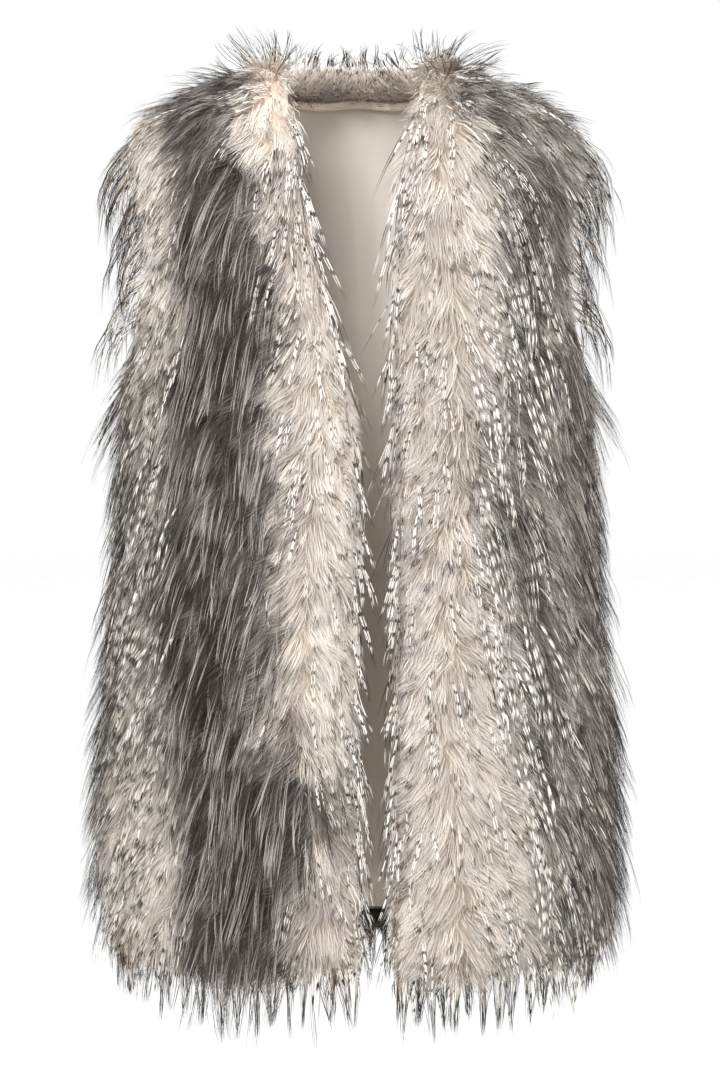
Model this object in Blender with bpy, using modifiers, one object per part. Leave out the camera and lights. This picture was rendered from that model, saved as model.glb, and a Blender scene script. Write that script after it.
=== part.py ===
"""Sleeveless long-pile fur vest, open down the front, with the hollow form that it has when worn.

Metres, +Z up, +Y towards the wearer's back, +X towards the wearer's left.
The origin is midway between the shoulders, at the height of the wearer's shoulders under the cloth.
"""

from collections import namedtuple

import bmesh
import bpy
import numpy as np

# Heights of the cut, measured from the shoulders
HEM_HEIGHT = -0.675
UNDERARM_HEIGHT = -0.225
ARCH_HEIGHT = -0.140  # where the walls start to lean in towards the shoulder seams
LINING_HEM_RISE = 0.019  # the lining stops this far above the back's hem

# Plan curve of the body: a rounded rectangle, and the fuller curve of the shoulder arch
BODY_SQUARENESS = 2.4
ARCH_SQUARENESS = 2.8

# Pile: how far the dense fur stands off the cloth, and how it rolls over a free edge
PILE = 0.023
PILE_ROLL = 0.015
RIM = 0.005
TUFT_RELIEF = 0.006
TUFT_ROWS = 3
TUFT_RISE = (1.0, 0.55, 0.1)  # the tuft's crest is at its lower end
TUFT_VALLEY = 0.35

# Fitting
SEAM_GAP = 0.0003
NORMAL_STEP = 0.00001
EDGE_GAP = 0.0007

# Lining, binding and facings on the inside of the back
LINING_WALL = 0.0015
LINING_FOLD = 0.004
INSIDE_GAP = 0.0006
BINDING_GAP = 0.0008
BINDING_WALL = 0.0016

# Places on the inside of the back, in rows of its plain inner face
LINING_NECK_DROP = 1.10  # from the neck's edge down to the lining
LINING_SHOULDER_DROP = 0.5  # and from the shoulder seam
NECK_FACING_DROP = 0.98
BINDING_SHARE = 0.36  # of the lining's top row
ROW_GAP = 0.04
NECK_FACING_WALL = 0.006
HEM_FACING_WALL = 0.004

# Neck hole at the back
NECK_HALF_WIDTH = 0.058
NECK_BACK_DEPTH = 0.056
NECK_CURVE = 2.0
NECK_ROWS_BEND = 2.0  # how late the rows bend down to follow the neck

# Rows and columns of a panel's wall
BODY_SHARE = 0.74  # of a panel's rows, the share below the shoulder arch
PANEL_ROWS = 43
FRONT_COLUMNS = 13
FRONT_CROWDING = 0.45  # how far the columns crowd towards a panel's side edges
BACK_COLUMNS = 33
BACK_CROWDING = 0.2
INNER_STEP = 2  # the plain inner face has every second row and column

Section = namedtuple("Section", "height half_width front_depth back_depth")
SECTIONS = (
    Section(-0.675, 0.186, 0.130, 0.124),
    Section(-0.600, 0.190, 0.129, 0.123),
    Section(-0.500, 0.186, 0.125, 0.118),
    Section(-0.390, 0.176, 0.120, 0.112),
    Section(-0.300, 0.172, 0.117, 0.107),
    Section(-0.225, 0.172, 0.116, 0.106),
    Section(-0.140, 0.172, 0.115, 0.105),
)

EdgeRow = namedtuple("EdgeRow", "height right_front left_front")
FRONT_EDGES = (
    EdgeRow(-0.675, 0.002, 0.029),
    EdgeRow(-0.543, -0.002, 0.031),
    EdgeRow(-0.390, -0.002, 0.033),
    EdgeRow(-0.313, -0.001, 0.032),
    EdgeRow(-0.237, -0.007, 0.031),
    EdgeRow(-0.160, -0.024, 0.031),
    EdgeRow(-0.084, -0.044, 0.038),
    EdgeRow(0.020, -0.057, 0.055),
)

ArmholeRow = namedtuple("ArmholeRow", "height turn_degrees")
ARMHOLE = (
    ArmholeRow(-0.225, 0.0),
    ArmholeRow(-0.205, 10.0),
    ArmholeRow(-0.180, 19.0),
    ArmholeRow(-0.140, 25.0),
    ArmholeRow(-0.090, 26.0),
    ArmholeRow(-0.040, 18.0),
    ArmholeRow(0.020, 10.0),
)

ShoulderRow = namedtuple("ShoulderRow", "off_centre height")
SHOULDER = (
    ShoulderRow(-0.030, 0.035),
    ShoulderRow(0.000, 0.042),
    ShoulderRow(0.030, 0.035),
    ShoulderRow(0.055, 0.023),
    ShoulderRow(0.080, 0.013),
    ShoulderRow(0.110, 0.003),
    ShoulderRow(0.150, -0.017),
    ShoulderRow(0.175, -0.036),
)
SHOULDER_SAMPLE = 0.100  # where a row's height is read on the shoulder arch

LiningFold = namedtuple("LiningFold", "off_centre half_width share")
LINING_FOLDS = (
    LiningFold(-0.074, 0.022, 0.6),
    LiningFold(-0.026, 0.016, 1.0),
    LiningFold(0.030, 0.018, 0.9),
    LiningFold(0.082, 0.022, 0.7),
)

# Locks of long hair along the free edges. Reach is along the edge's outward way, fall is
# straight down, lift is off the cloth, each as a share of the lock's length.
# Spring is the turn outwards at the root. There is a lock on every so many steps of the strip,
# and the strip has so many steps to each step of the panel's edge.
LockStyle = namedtuple("LockStyle", "length reach fall lift spring every split root")
OFF_CLOTH, OUT = 1, 2  # the strip's faces that a lock's root can be on
FRONT_HEM_LOCKS = LockStyle(0.054, 0.0, 1.0, 0.06, 0.5, 1, 2, OUT)
BACK_HEM_LOCKS = LockStyle(0.034, 0.0, 1.0, 0.06, 0.5, 1, 2, OUT)
FRONT_LOCKS = LockStyle(0.050, 0.06, 0.80, 0.52, 0.0, 2, 1, OFF_CLOTH)
ARMHOLE_LOCKS = LockStyle(0.056, 0.20, 0.75, 0.62, 0.1, 1, 1, OFF_CLOTH)
NECK_LOCKS = LockStyle(0.018, 0.95, -0.10, 0.20, 0.5, 1, 1, OUT)
LOCK_STRIP_DEPTH = 0.003
LOCK_STRIP_HALF = 0.0025
LOCK_STRIP_PINCH = 0.08  # the strip is pinched a little at every second step
LOCK_SPREAD = 0.22
LOCK_SWAY = 0.10
LOCK_WAIST = 0.55
LOCK_SIDE_SHARE = 0.55  # at the garment's sides, locks have this share of their length
LOCK_SEED = 11

Finish = namedtuple("Finish", "colour roughness")
CREAM_FUR = Finish((0.62, 0.55, 0.47, 1.0), 0.75)
GREY_FUR = Finish((0.30, 0.26, 0.24, 1.0), 0.75)
DARK_FUR = Finish((0.06, 0.05, 0.045, 1.0), 0.8)
SATIN = Finish((0.58, 0.53, 0.45, 1.0), 0.4)
BINDING = Finish((0.72, 0.62, 0.52, 1.0), 0.5)

COLLECTION = "Fur_vest"


def clear_scene():
    for old in list(bpy.data.objects):
        bpy.data.objects.remove(old)


def smooth_curve(keys, values):
    """A smooth curve through the rows of a table, for rising keys."""
    keys, values = np.array(keys), np.array(values)
    slopes = np.gradient(values, keys)

    def curve(at):
        at = np.clip(at, keys[0], keys[-1])
        i = np.clip(np.searchsorted(keys, at) - 1, 0, len(keys) - 2)
        span = keys[i + 1] - keys[i]
        t = (at - keys[i]) / span
        start = values[i] * (2 * t**3 - 3 * t**2 + 1) + slopes[i] * span * (t**3 - 2 * t**2 + t)
        end = values[i + 1] * (3 * t**2 - 2 * t**3) + slopes[i + 1] * span * (t**3 - t**2)
        return start + end

    return curve


def column_curve(table, key, column):
    return smooth_curve([getattr(row, key) for row in table], [getattr(row, column) for row in table])


half_width = column_curve(SECTIONS, "height", "half_width")
front_depth = column_curve(SECTIONS, "height", "front_depth")
back_depth = column_curve(SECTIONS, "height", "back_depth")
armhole_turn = column_curve(ARMHOLE, "height", "turn_degrees")
shoulder_height = column_curve(SHOULDER, "off_centre", "height")
FRONT_EDGE_CURVES = {
    "right": column_curve(FRONT_EDGES, "height", "right_front"),
    "left": column_curve(FRONT_EDGES, "height", "left_front"),
}


def power(base, exponent):
    """A signed power, so a rounded rectangle keeps its four quarters."""
    return np.sign(base) * np.abs(base) ** exponent


# The shoulder arch, evenly spaced along its length: how much of the depth is left, and of the height is climbed
ARCH_TURNS = np.linspace(0.0, np.pi / 2, 400)
ARCH_DEPTH_LEFT = np.cos(ARCH_TURNS).clip(0.0) ** (2 / ARCH_SQUARENESS)
ARCH_CLIMB = np.sin(ARCH_TURNS) ** (2 / ARCH_SQUARENESS)
ARCH_LENGTH = np.concatenate(
    [[0.0], np.cumsum(np.hypot(np.diff(ARCH_DEPTH_LEFT) * 0.10, np.diff(ARCH_CLIMB) * 0.15))]
)
ARCH_LENGTH = ARCH_LENGTH / ARCH_LENGTH[-1]


def row_place(share):
    """Height on the straight body, share of the shoulder arch climbed, and height for the edge tables."""
    if share <= BODY_SHARE:
        height = HEM_HEIGHT + (ARCH_HEIGHT - HEM_HEIGHT) * share / BODY_SHARE
        return height, 0.0, height
    climbed = (share - BODY_SHARE) / (1 - BODY_SHARE)
    rise = shoulder_height(SHOULDER_SAMPLE) - ARCH_HEIGHT
    return ARCH_HEIGHT, climbed, ARCH_HEIGHT + rise * np.interp(climbed, ARCH_LENGTH, ARCH_CLIMB)


def neck_limit(x, depth):
    """The share of the arch that the back keeps: all of it on the shoulders, less behind the neck."""
    inside = np.clip(1 - np.abs(x / NECK_HALF_WIDTH) ** NECK_CURVE, 0.0, 1.0)
    left = np.clip(NECK_BACK_DEPTH * np.sqrt(inside) / depth, 0.0, 1.0)
    return np.interp(-left, -ARCH_DEPTH_LEFT, ARCH_LENGTH)


def wall_points(height, climbed, turns, depth_curve, facing, has_neck):
    """Points of the cloth's inner face along one row, for turns from the side seam round to the centre."""
    x = half_width(height) * power(np.cos(turns), 2 / BODY_SQUARENESS)
    depth = depth_curve(height) * power(np.sin(turns), 2 / BODY_SQUARENESS)
    share = np.full_like(x, climbed)
    if has_neck:
        share -= climbed**NECK_ROWS_BEND * (1 - neck_limit(x, np.maximum(depth, 1e-6)))
    left = np.interp(share, ARCH_LENGTH, ARCH_DEPTH_LEFT)
    climb = np.interp(share, ARCH_LENGTH, ARCH_CLIMB)
    z = height + (shoulder_height(np.abs(x)) - ARCH_HEIGHT) * climb
    return np.stack([x, facing * (depth * left + SEAM_GAP / 2), z], axis=1)


def evenly(points, shares):
    """The row again, at these shares of its length."""
    along = np.concatenate([[0.0], np.cumsum(np.linalg.norm(np.diff(points, axis=0), axis=1))])
    return np.stack([np.interp(shares * along[-1], along, points[:, k]) for k in range(3)], axis=1)


def crowded(count, crowding):
    """Shares from 0 to 1, closer together at both ends, where the pile rolls over an edge."""
    t = np.linspace(0.0, 1.0, count)
    return t - crowding * np.sin(2 * np.pi * t) / (2 * np.pi)


def row_shares():
    """Rows from the hem up, with one close to the hem where the pile rolls over it."""
    return np.concatenate([[0.0, 0.011], np.linspace(0.033, 1.0, PANEL_ROWS - 2)])


def straight_edges(grid):
    """Puts every second point of the border between its neighbours, where the plain inner face has none."""
    grid = grid.copy()
    for row in (0, -1):
        grid[row, 1:-1:2] = (grid[row, :-2:2] + grid[row, 2::2]) / 2
    for column in (0, -1):
        grid[1:-1:2, column] = (grid[:-2:2, column] + grid[2::2, column]) / 2
    return grid


def front_grid(side):
    sign = -1.0 if side == "right" else 1.0
    rows = []
    for share in row_shares():
        height, climbed, table_height = row_place(share)
        edge = sign * FRONT_EDGE_CURVES[side](table_height)
        edge_turn = np.arccos(power(edge / half_width(height), BODY_SQUARENESS / 2))
        side_turn = np.radians(armhole_turn(table_height))
        turns = np.linspace(edge_turn, side_turn, 120)
        points = wall_points(height, climbed, turns, front_depth, -1.0, False)
        rows.append(evenly(points, crowded(FRONT_COLUMNS, FRONT_CROWDING)) * (sign, 1.0, 1.0))
    return straight_edges(np.array(rows))


def back_grid():
    rows = []
    for share in row_shares():
        height, climbed, table_height = row_place(share)
        side_turn = np.radians(armhole_turn(table_height))
        turns = np.linspace(side_turn, np.pi - side_turn, 240)
        points = wall_points(height, climbed, turns, back_depth, 1.0, True)
        rows.append(evenly(points, crowded(BACK_COLUMNS, BACK_CROWDING)))
    return straight_edges(np.array(rows))


def unit(vectors):
    return vectors / np.linalg.norm(vectors, axis=-1, keepdims=True)


def wall_level(points, depth_curve):
    """1 on the cloth's inner face, more outside it and less in the hollow."""
    x, y, z = np.abs(points[..., 0]), np.abs(points[..., 1]), points[..., 2]
    height = np.minimum(z, ARCH_HEIGHT)
    across = (x / half_width(height)) ** BODY_SQUARENESS
    body = across + (y / depth_curve(height)) ** BODY_SQUARENESS
    depth = depth_curve(height) * np.maximum(1 - across, 1e-6) ** (1 / BODY_SQUARENESS)
    climb = np.maximum(z - ARCH_HEIGHT, 0.0) / (shoulder_height(x) - ARCH_HEIGHT)
    arch = (y / depth) ** ARCH_SQUARENESS + climb**ARCH_SQUARENESS
    return np.where(z > ARCH_HEIGHT, arch, body)


def outward_normals(grid, depth_curve):
    """The steepest way out of the hollow, which keeps to the seam's own plane along side and shoulder seams."""
    steps = np.eye(3) * NORMAL_STEP
    rises = [wall_level(grid + step, depth_curve) - wall_level(grid - step, depth_curve) for step in steps]
    normals = np.stack(rises, axis=-1)
    normals[np.abs(grid[..., 1]) <= SEAM_GAP, 1] = 0.0
    return unit(normals)


def row_heights():
    return np.array([row_place(share)[2] for share in row_shares()])


def free_edge_points(grid, free_columns):
    """Points along the hem, armholes, front edge and neck, but not along the sewn seams."""
    open_rows = row_heights() >= UNDERARM_HEIGHT
    edges = [grid[0]]
    for column, sewn_below in free_columns:
        edges.append(grid[open_rows, column] if sewn_below else grid[:, column])
    edges.append(grid[-1][np.abs(grid[-1, :, 1]) >= 0.001])
    return np.concatenate(edges)


def pile_depth(grid, free_columns):
    """Depth of the dense fur: full on the panel, rolling down to the rim at its free edges."""
    edge = free_edge_points(grid, free_columns)
    away = np.linalg.norm(grid[:, :, None] - edge[None, None], axis=-1).min(axis=2)
    roll = np.clip(1 - away / PILE_ROLL, 0.0, 1.0)
    return np.maximum(RIM, PILE * np.sqrt(1 - roll**2))


def tufts(shape, depth, seed):
    """Relief of overlapping tufts, which start at uneven heights from one column to the next."""
    chance = np.random.default_rng(seed)
    rows, columns = np.indices(shape)
    starts = chance.integers(0, TUFT_ROWS, shape[1])[columns]
    rise = np.array(TUFT_RISE)[(rows + starts) % TUFT_ROWS]
    crest = np.where((columns + (rows + starts) // TUFT_ROWS) % 2 == 0, 1.0, TUFT_VALLEY)
    uneven = chance.uniform(0.7, 1.15, shape)
    return TUFT_RELIEF * rise * crest * uneven * (depth - RIM) / (PILE - RIM)


def material(name, finish):
    made = bpy.data.materials.new(name)
    made.use_nodes = True
    shader = made.node_tree.nodes["Principled BSDF"]
    shader.inputs["Base Color"].default_value = finish.colour
    shader.inputs["Roughness"].default_value = finish.roughness
    shader.inputs["Metallic"].default_value = 0.0
    return made


def add_object(name, bm, finish):
    mesh = bpy.data.meshes.new(name)
    bmesh.ops.recalc_face_normals(bm, faces=bm.faces)
    if bm.calc_volume(signed=True) < 0:
        bmesh.ops.reverse_faces(bm, faces=bm.faces)
    bm.to_mesh(mesh)
    bm.free()
    mesh.shade_smooth()
    made = bpy.data.objects.new(name, mesh)
    made.data.materials.append(finish)
    bpy.data.collections[COLLECTION].objects.link(made)
    return made


def grid_verts(bm, grid):
    return [[bm.verts.new(point) for point in row] for row in grid]


def fill_grid(bm, verts):
    for low, high in zip(verts, verts[1:]):
        for a, b, c, d in zip(low, low[1:], high[1:], high):
            bm.faces.new((a, b, c))
            bm.faces.new((a, c, d))


def fill_rim(bm, fine, coarse, step):
    """Closes a wall's edge between the outer face's points and every step-th point of the inner face."""
    for k in range(len(coarse) - 1):
        start, half = k * step, step // 2
        for j in range(step):
            near = coarse[k] if j < half else coarse[k + 1]
            bm.faces.new((near, fine[start + j], fine[start + j + 1]))
        bm.faces.new((coarse[k], fine[start + half], coarse[k + 1]))


def fur_wall(name, inner, outer, finish):
    """A closed wall of fur: a finely tufted outer face, a plain inner face and the rim between them."""
    bm = bmesh.new()
    fine = grid_verts(bm, outer)
    coarse = grid_verts(bm, inner[::INNER_STEP, ::INNER_STEP])
    fill_grid(bm, fine)
    fill_grid(bm, coarse)
    for row in (0, -1):
        fill_rim(bm, fine[row], coarse[row], INNER_STEP)
    for column in (0, -1):
        fill_rim(bm, [r[column] for r in fine], [r[column] for r in coarse], INNER_STEP)
    return add_object(name, bm, finish)


def panel_walls(inner, depth_curve, free_columns, seed):
    """The outward normals and the tufted outer face of one panel."""
    normals = outward_normals(inner, depth_curve)
    depth = pile_depth(inner, free_columns)
    depth = depth + tufts(depth.shape, depth, seed)
    return normals, inner + normals * depth[..., None]


def lock_strip(name, inner, outer, normals, inward, style, finish, seed):
    """Locks of long hair along one edge: a narrow strip just off the rim, with a tapered lock on one of its faces.

    inner, outer and normals run along the edge. inward points from the edge into the panel.
    """
    chance = np.random.default_rng(seed)
    count = (len(inner) - 1) * style.split + 1
    at = np.linspace(0, len(inner) - 1, count)

    def finer(points):
        steps = np.arange(len(points))
        return np.stack([np.interp(at, steps, points[:, k]) for k in range(3)], axis=1)

    middle, up = finer((inner + outer) / 2), unit(finer(normals))
    along = unit(np.gradient(middle, axis=0))
    out = unit(np.cross(along, up))
    out *= np.sign((out * -finer(inward)).sum(1, keepdims=True))
    corners = []
    pinch = 1 - LOCK_STRIP_PINCH * (np.arange(count) % 2)[:, None]
    for off, lift in ((0, -1), (0, 1), (1, 1), (1, -1)):
        reach = EDGE_GAP + off * LOCK_STRIP_DEPTH * pinch
        corners.append(middle + out * reach + up * lift * LOCK_STRIP_HALF * pinch)
    bm = bmesh.new()
    rings = [[bm.verts.new(corner[k]) for corner in corners] for k in range(count)]
    bm.faces.new(rings[0])
    bm.faces.new(rings[-1])
    roots = []
    for k, (low, high) in enumerate(zip(rings, rings[1:])):
        for side in range(4):
            after = (side + 1) % 4
            face = bm.faces.new((low[side], low[after], high[after], high[side]))
            if side == style.root and k % style.every == 0:
                roots.append((face, k))
    bmesh.ops.recalc_face_normals(bm, faces=bm.faces)
    for face, k in roots:
        to_side = abs(middle[k, 0]) / half_width(HEM_HEIGHT) if style.fall == 1.0 else 0.0
        share = 1 - (1 - LOCK_SIDE_SHARE) * to_side**2
        grow_lock(bm, face, out[k], up[k], along[k], style, share, chance)
    return add_object(name, bm, finish)


def grow_lock(bm, root, out, up, along, style, share, chance):
    """Draws one face of a strip out into a bent, tapering lock of four sides."""
    length = style.length * share * chance.uniform(1 - LOCK_SPREAD, 1 + LOCK_SPREAD)
    down = np.array((0.0, 0.0, -1.0))
    way = out * style.reach + down * style.fall + up * style.lift
    way = unit(way + along * chance.uniform(-LOCK_SWAY, LOCK_SWAY))
    first = unit(out * style.spring + way + up * style.lift * 0.6) * length * 0.45
    second = unit(way + down * 0.35 * (style.fall > 0)) * length * 0.55
    face = bmesh.ops.extrude_discrete_faces(bm, faces=[root])["faces"][0]
    middle = np.array(face.calc_center_median())
    for vert in face.verts:
        vert.co = middle + first + (np.array(vert.co) - middle) * LOCK_WAIST
    face = bmesh.ops.extrude_discrete_faces(bm, faces=[face])["faces"][0]
    tip = np.array(face.calc_center_median()) + second
    bmesh.ops.pointmerge(bm, verts=face.verts[:], merge_co=tip)


def inner_sheet(name, grid, thickness, finish):
    """Cloth on the inside of the back: an open surface that takes its thickness towards the hollow."""
    bm = bmesh.new()
    fill_grid(bm, grid_verts(bm, grid))
    made = add_object(name, bm, finish)
    wall = made.modifiers.new("wall", "SOLIDIFY")
    wall.thickness = thickness
    wall.use_even_offset = True
    wall.offset = sheet_offset(made.data, grid)
    return made


def sheet_offset(mesh, grid):
    """Solidify's offset that puts the wall on the hollow's side of the sheet."""
    middle = grid.reshape(-1, 3).mean(axis=0)
    normal = np.mean([polygon.normal for polygon in mesh.polygons], axis=0)
    return -1.0 if normal @ (middle - (0.0, 0.0, middle[2])) > 0 else 1.0


def on_panel(grid, row, column):
    """A point on the panel's inner face, at a fractional row and column of its coarse grid."""
    i = int(np.clip(np.floor(row), 0, len(grid) - 2))
    j = int(np.clip(np.floor(column), 0, len(grid[0]) - 2))
    t, s = row - i, column - j
    start, across, up = grid[i, j], grid[i, j + 1], grid[i + 1, j]
    corner = grid[i + 1, j + 1]
    if s >= t:
        return start + s * (across - start) + t * (corner - across)
    return start + t * (up - start) + s * (corner - up)


def row_at_height(grid, column, height):
    """The fractional row where one column of the coarse grid passes this height."""
    return float(np.interp(height, grid[:, column, 2], np.arange(len(grid))))


def lining_fold(x):
    """How far the lining stands off the back in its soft vertical folds."""
    swell = [f.share * np.exp(-(((x - f.off_centre) / f.half_width) ** 2)) for f in LINING_FOLDS]
    return LINING_FOLD * min(1.0, sum(swell))


def inside_strip(grid, normals, rows, columns, off):
    """Points and normals over part of a sheet's grid, moved inwards. rows holds one list of row numbers a column."""
    count = len(rows[0])
    points, ways = np.empty((2, count, len(columns), 3))
    for j, column in enumerate(columns):
        for i in range(count):
            ways[i, j] = on_panel(normals, rows[j][i], column)
            point = on_panel(grid, rows[j][i], column)
            points[i, j] = point - ways[i, j] * off(point)
    return points, unit(ways)


def make_fronts(furs):
    for side, seed in (("right", 3), ("left", 5)):
        inner = front_grid(side)
        normals, outer = panel_walls(inner, front_depth, ((0, False), (-1, True)), seed)
        fur = furs["grey"] if side == "right" else furs["cream"]
        fur_wall(f"front_{side}", inner, outer, fur)
        into_panel = inner[1] - inner[0]
        edge = (inner[0], outer[0], normals[0])
        lock_strip(f"hem_locks_{side}", *edge, into_panel, FRONT_HEM_LOCKS, fur, LOCK_SEED)
        rows = slice(2, -5)
        into_panel = inner[rows, 1] - inner[rows, 0]
        edge = (inner[rows, 0], outer[rows, 0], normals[rows, 0])
        lock_strip(f"edge_locks_{side}", *edge, into_panel, FRONT_LOCKS, fur, LOCK_SEED + 1)
        rows = armhole_rows()
        into_panel = inner[rows, -2] - inner[rows, -1]
        edge = (inner[rows, -1], outer[rows, -1], normals[rows, -1])
        lock_strip(f"armhole_locks_front_{side}", *edge, into_panel, ARMHOLE_LOCKS, fur, LOCK_SEED + 2)


def armhole_rows():
    """Rows along an armhole's free edge, clear of the underarm and the shoulder seam."""
    heights = row_heights()
    return np.flatnonzero(heights > UNDERARM_HEIGHT + 0.03)[:-2]


def make_back(furs):
    inner = back_grid()
    normals, outer = panel_walls(inner, back_depth, ((0, True), (-1, True)), 7)
    fur = furs["grey"]
    fur_wall("back", inner, outer, fur)
    edge = (inner[0], outer[0], normals[0])
    lock_strip("hem_locks_back", *edge, inner[1] - inner[0], BACK_HEM_LOCKS, fur, LOCK_SEED + 3)
    rows = armhole_rows()
    for side, column, beside in (("left", 0, 1), ("right", -1, -2)):
        into_panel = inner[rows, beside] - inner[rows, column]
        edge = (inner[rows, column], outer[rows, column], normals[rows, column])
        lock_strip(f"armhole_locks_back_{side}", *edge, into_panel, ARMHOLE_LOCKS, fur, LOCK_SEED + 4)
    neck = np.flatnonzero(np.abs(inner[-1, :, 0]) < NECK_HALF_WIDTH * 0.8)
    edge = (inner[-1, neck], outer[-1, neck], normals[-1, neck])
    lock_strip("neck_locks", *edge, inner[-2, neck] - inner[-1, neck], NECK_LOCKS, fur, LOCK_SEED + 5)
    return inner, normals


def make_inside(inner, normals, furs):
    """Lining, its neck binding, the fur facing inside the neck and the facing along the back's hem."""
    grid = inner[::INNER_STEP, ::INNER_STEP]
    ways = normals[::INNER_STEP, ::INNER_STEP]
    top, last = len(grid) - 1, grid.shape[1] - 1
    neck = np.flatnonzero(np.abs(grid[-1, :, 0]) < NECK_HALF_WIDTH)
    columns = np.arange(1.0, last)
    under_neck = (columns >= neck[0] - 1) & (columns <= neck[-1] + 1)
    low = row_at_height(grid, last // 2, HEM_HEIGHT + LINING_HEM_RISE)
    high = np.where(under_neck, top - LINING_NECK_DROP, top - LINING_SHOULDER_DROP)
    rows = [[low, *range(1, top - 1), peak] for peak in high]
    lining, lining_ways = inside_strip(grid, ways, rows, columns, lining_off)
    inner_sheet("lining_back", lining, LINING_WALL, material("lining_satin", SATIN))

    half_columns = np.arange(neck[0], neck[-1] + 0.5, 0.5)
    rows = [[top - NECK_FACING_DROP, top - NECK_FACING_DROP / 2, top - ROW_GAP]] * len(half_columns)
    facing, _ = inside_strip(grid, ways, rows, half_columns, facing_off)
    inner_sheet("neck_facing", facing, NECK_FACING_WALL, furs["grey"])

    lining_top = len(lining) - 1
    rows = [[lining_top - BINDING_SHARE, lining_top - ROW_GAP]] * len(half_columns)
    binding, _ = inside_strip(lining, lining_ways, rows, half_columns - columns[0], binding_off)
    inner_sheet("neck_binding", binding, BINDING_WALL, material("binding_cloth", BINDING))

    rows = [[ROW_GAP, low - ROW_GAP]] * len(columns)
    hem, _ = inside_strip(grid, ways, rows, columns, facing_off)
    inner_sheet("hem_facing", hem, HEM_FACING_WALL, furs["dark"])


def facing_off(point):
    return INSIDE_GAP


def lining_off(point):
    return INSIDE_GAP + lining_fold(point[0])


def binding_off(point):
    return LINING_WALL + BINDING_GAP


def main():
    clear_scene()
    group = bpy.data.collections.new(COLLECTION)
    bpy.context.scene.collection.children.link(group)
    furs = {
        "cream": material("cream_fur", CREAM_FUR),
        "grey": material("grey_fur", GREY_FUR),
        "dark": material("dark_fur", DARK_FUR),
    }
    make_fronts(furs)
    inner, normals = make_back(furs)
    make_inside(inner, normals, furs)


main()
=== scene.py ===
import math
from collections import namedtuple

import bmesh
import bpy
import numpy as np
from bpy.props import EnumProperty, FloatProperty, FloatVectorProperty, IntProperty, PointerProperty
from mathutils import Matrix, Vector
from mathutils.bvhtree import BVHTree
from mathutils.kdtree import KDTree


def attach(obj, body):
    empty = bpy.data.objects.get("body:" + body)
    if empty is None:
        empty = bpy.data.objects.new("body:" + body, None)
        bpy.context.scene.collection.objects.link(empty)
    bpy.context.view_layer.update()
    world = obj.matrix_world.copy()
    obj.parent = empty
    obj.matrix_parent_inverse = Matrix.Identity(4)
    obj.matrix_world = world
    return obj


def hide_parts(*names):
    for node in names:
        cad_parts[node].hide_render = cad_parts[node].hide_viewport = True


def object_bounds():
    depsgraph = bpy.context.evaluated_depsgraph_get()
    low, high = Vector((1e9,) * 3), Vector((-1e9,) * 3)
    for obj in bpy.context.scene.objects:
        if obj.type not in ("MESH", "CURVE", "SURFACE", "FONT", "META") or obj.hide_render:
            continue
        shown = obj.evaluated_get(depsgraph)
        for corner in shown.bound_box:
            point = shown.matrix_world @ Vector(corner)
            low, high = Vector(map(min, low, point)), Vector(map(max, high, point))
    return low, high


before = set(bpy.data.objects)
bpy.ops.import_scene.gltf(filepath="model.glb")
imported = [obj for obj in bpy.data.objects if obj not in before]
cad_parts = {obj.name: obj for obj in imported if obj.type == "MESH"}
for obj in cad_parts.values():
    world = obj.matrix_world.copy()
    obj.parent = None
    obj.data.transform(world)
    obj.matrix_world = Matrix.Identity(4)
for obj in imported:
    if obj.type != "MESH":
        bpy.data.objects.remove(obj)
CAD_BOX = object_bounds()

bl_info = {
    "name": "Fur vest dressing",
    "version": (1, 0, 0),
    "blender": (4, 5, 0),
    "location": "View3D > Sidebar > Fur vest",
    "description": "Covers the vest's solids with fur, lining, binding and facings",
    "category": "Object",
}

BODY = "root"
DOWN = np.array((0.0, 0.0, -1.0))
BLACK = (0.0, 0.0, 0.0, 1.0)
WHITE = (1.0, 1.0, 1.0, 1.0)
SQUARE_CM = 1e4  # square centimetres on a square metre

# Reading the solids
SAMPLE_DECIMALS = 6  # corners that agree in so many decimals are one
SHOULDER_AXIS = -0.16  # above this height the walls arch in, so outwards is measured from here
OUTER_FACING = 0.15  # how far outwards a wall's outer face looks, from -1 to 1
INNER_FACING = -0.3  # and its inner face
RIM_FACING = -0.35  # hair grows on the outer faces and on the rims of the free edges

# Columns of the strand maps: a hair's colour depends on its column and on the place along it
STRAND_MAP = "Strand"
BAKE_MAP = "OFBake"
TONE_COLUMNS = 128
GUARD_COLUMNS = 100
COLUMN_FILL = 0.3  # the share of a column's half that a hair takes up
MAP_EDGE = 0.002
DISPLAY_GAMMA = 2.2
RAMP_STEPS = 6

# Limits of the hair
PIECE_TRIANGLES = 190_000
BOX_SLACK = 0.006  # how far hair may stand out of the solids' box
FACING_TOP = 0.036  # the dense hair inside the neck ends at this height
FACING_TIPS = 0.012  # and its long hairs this far above
FACING_COAT_LENGTH = (0.011, 0.022)
FACING_COAT_WIDTH = (0.0006, 0.0010)
FACING_LONG_LENGTH = (0.018, 0.028)
FACING_LONG_EVERY = 24  # one long hair to so many hairs of the coat

# Where the hair's lie changes: at the neck's corners it fans out, and beyond them the shoulders slope
NECK_CORNER = 0.062  # from the middle
SLOPE_START = 0.004  # from a corner
SLOPE_END = 0.034

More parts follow.
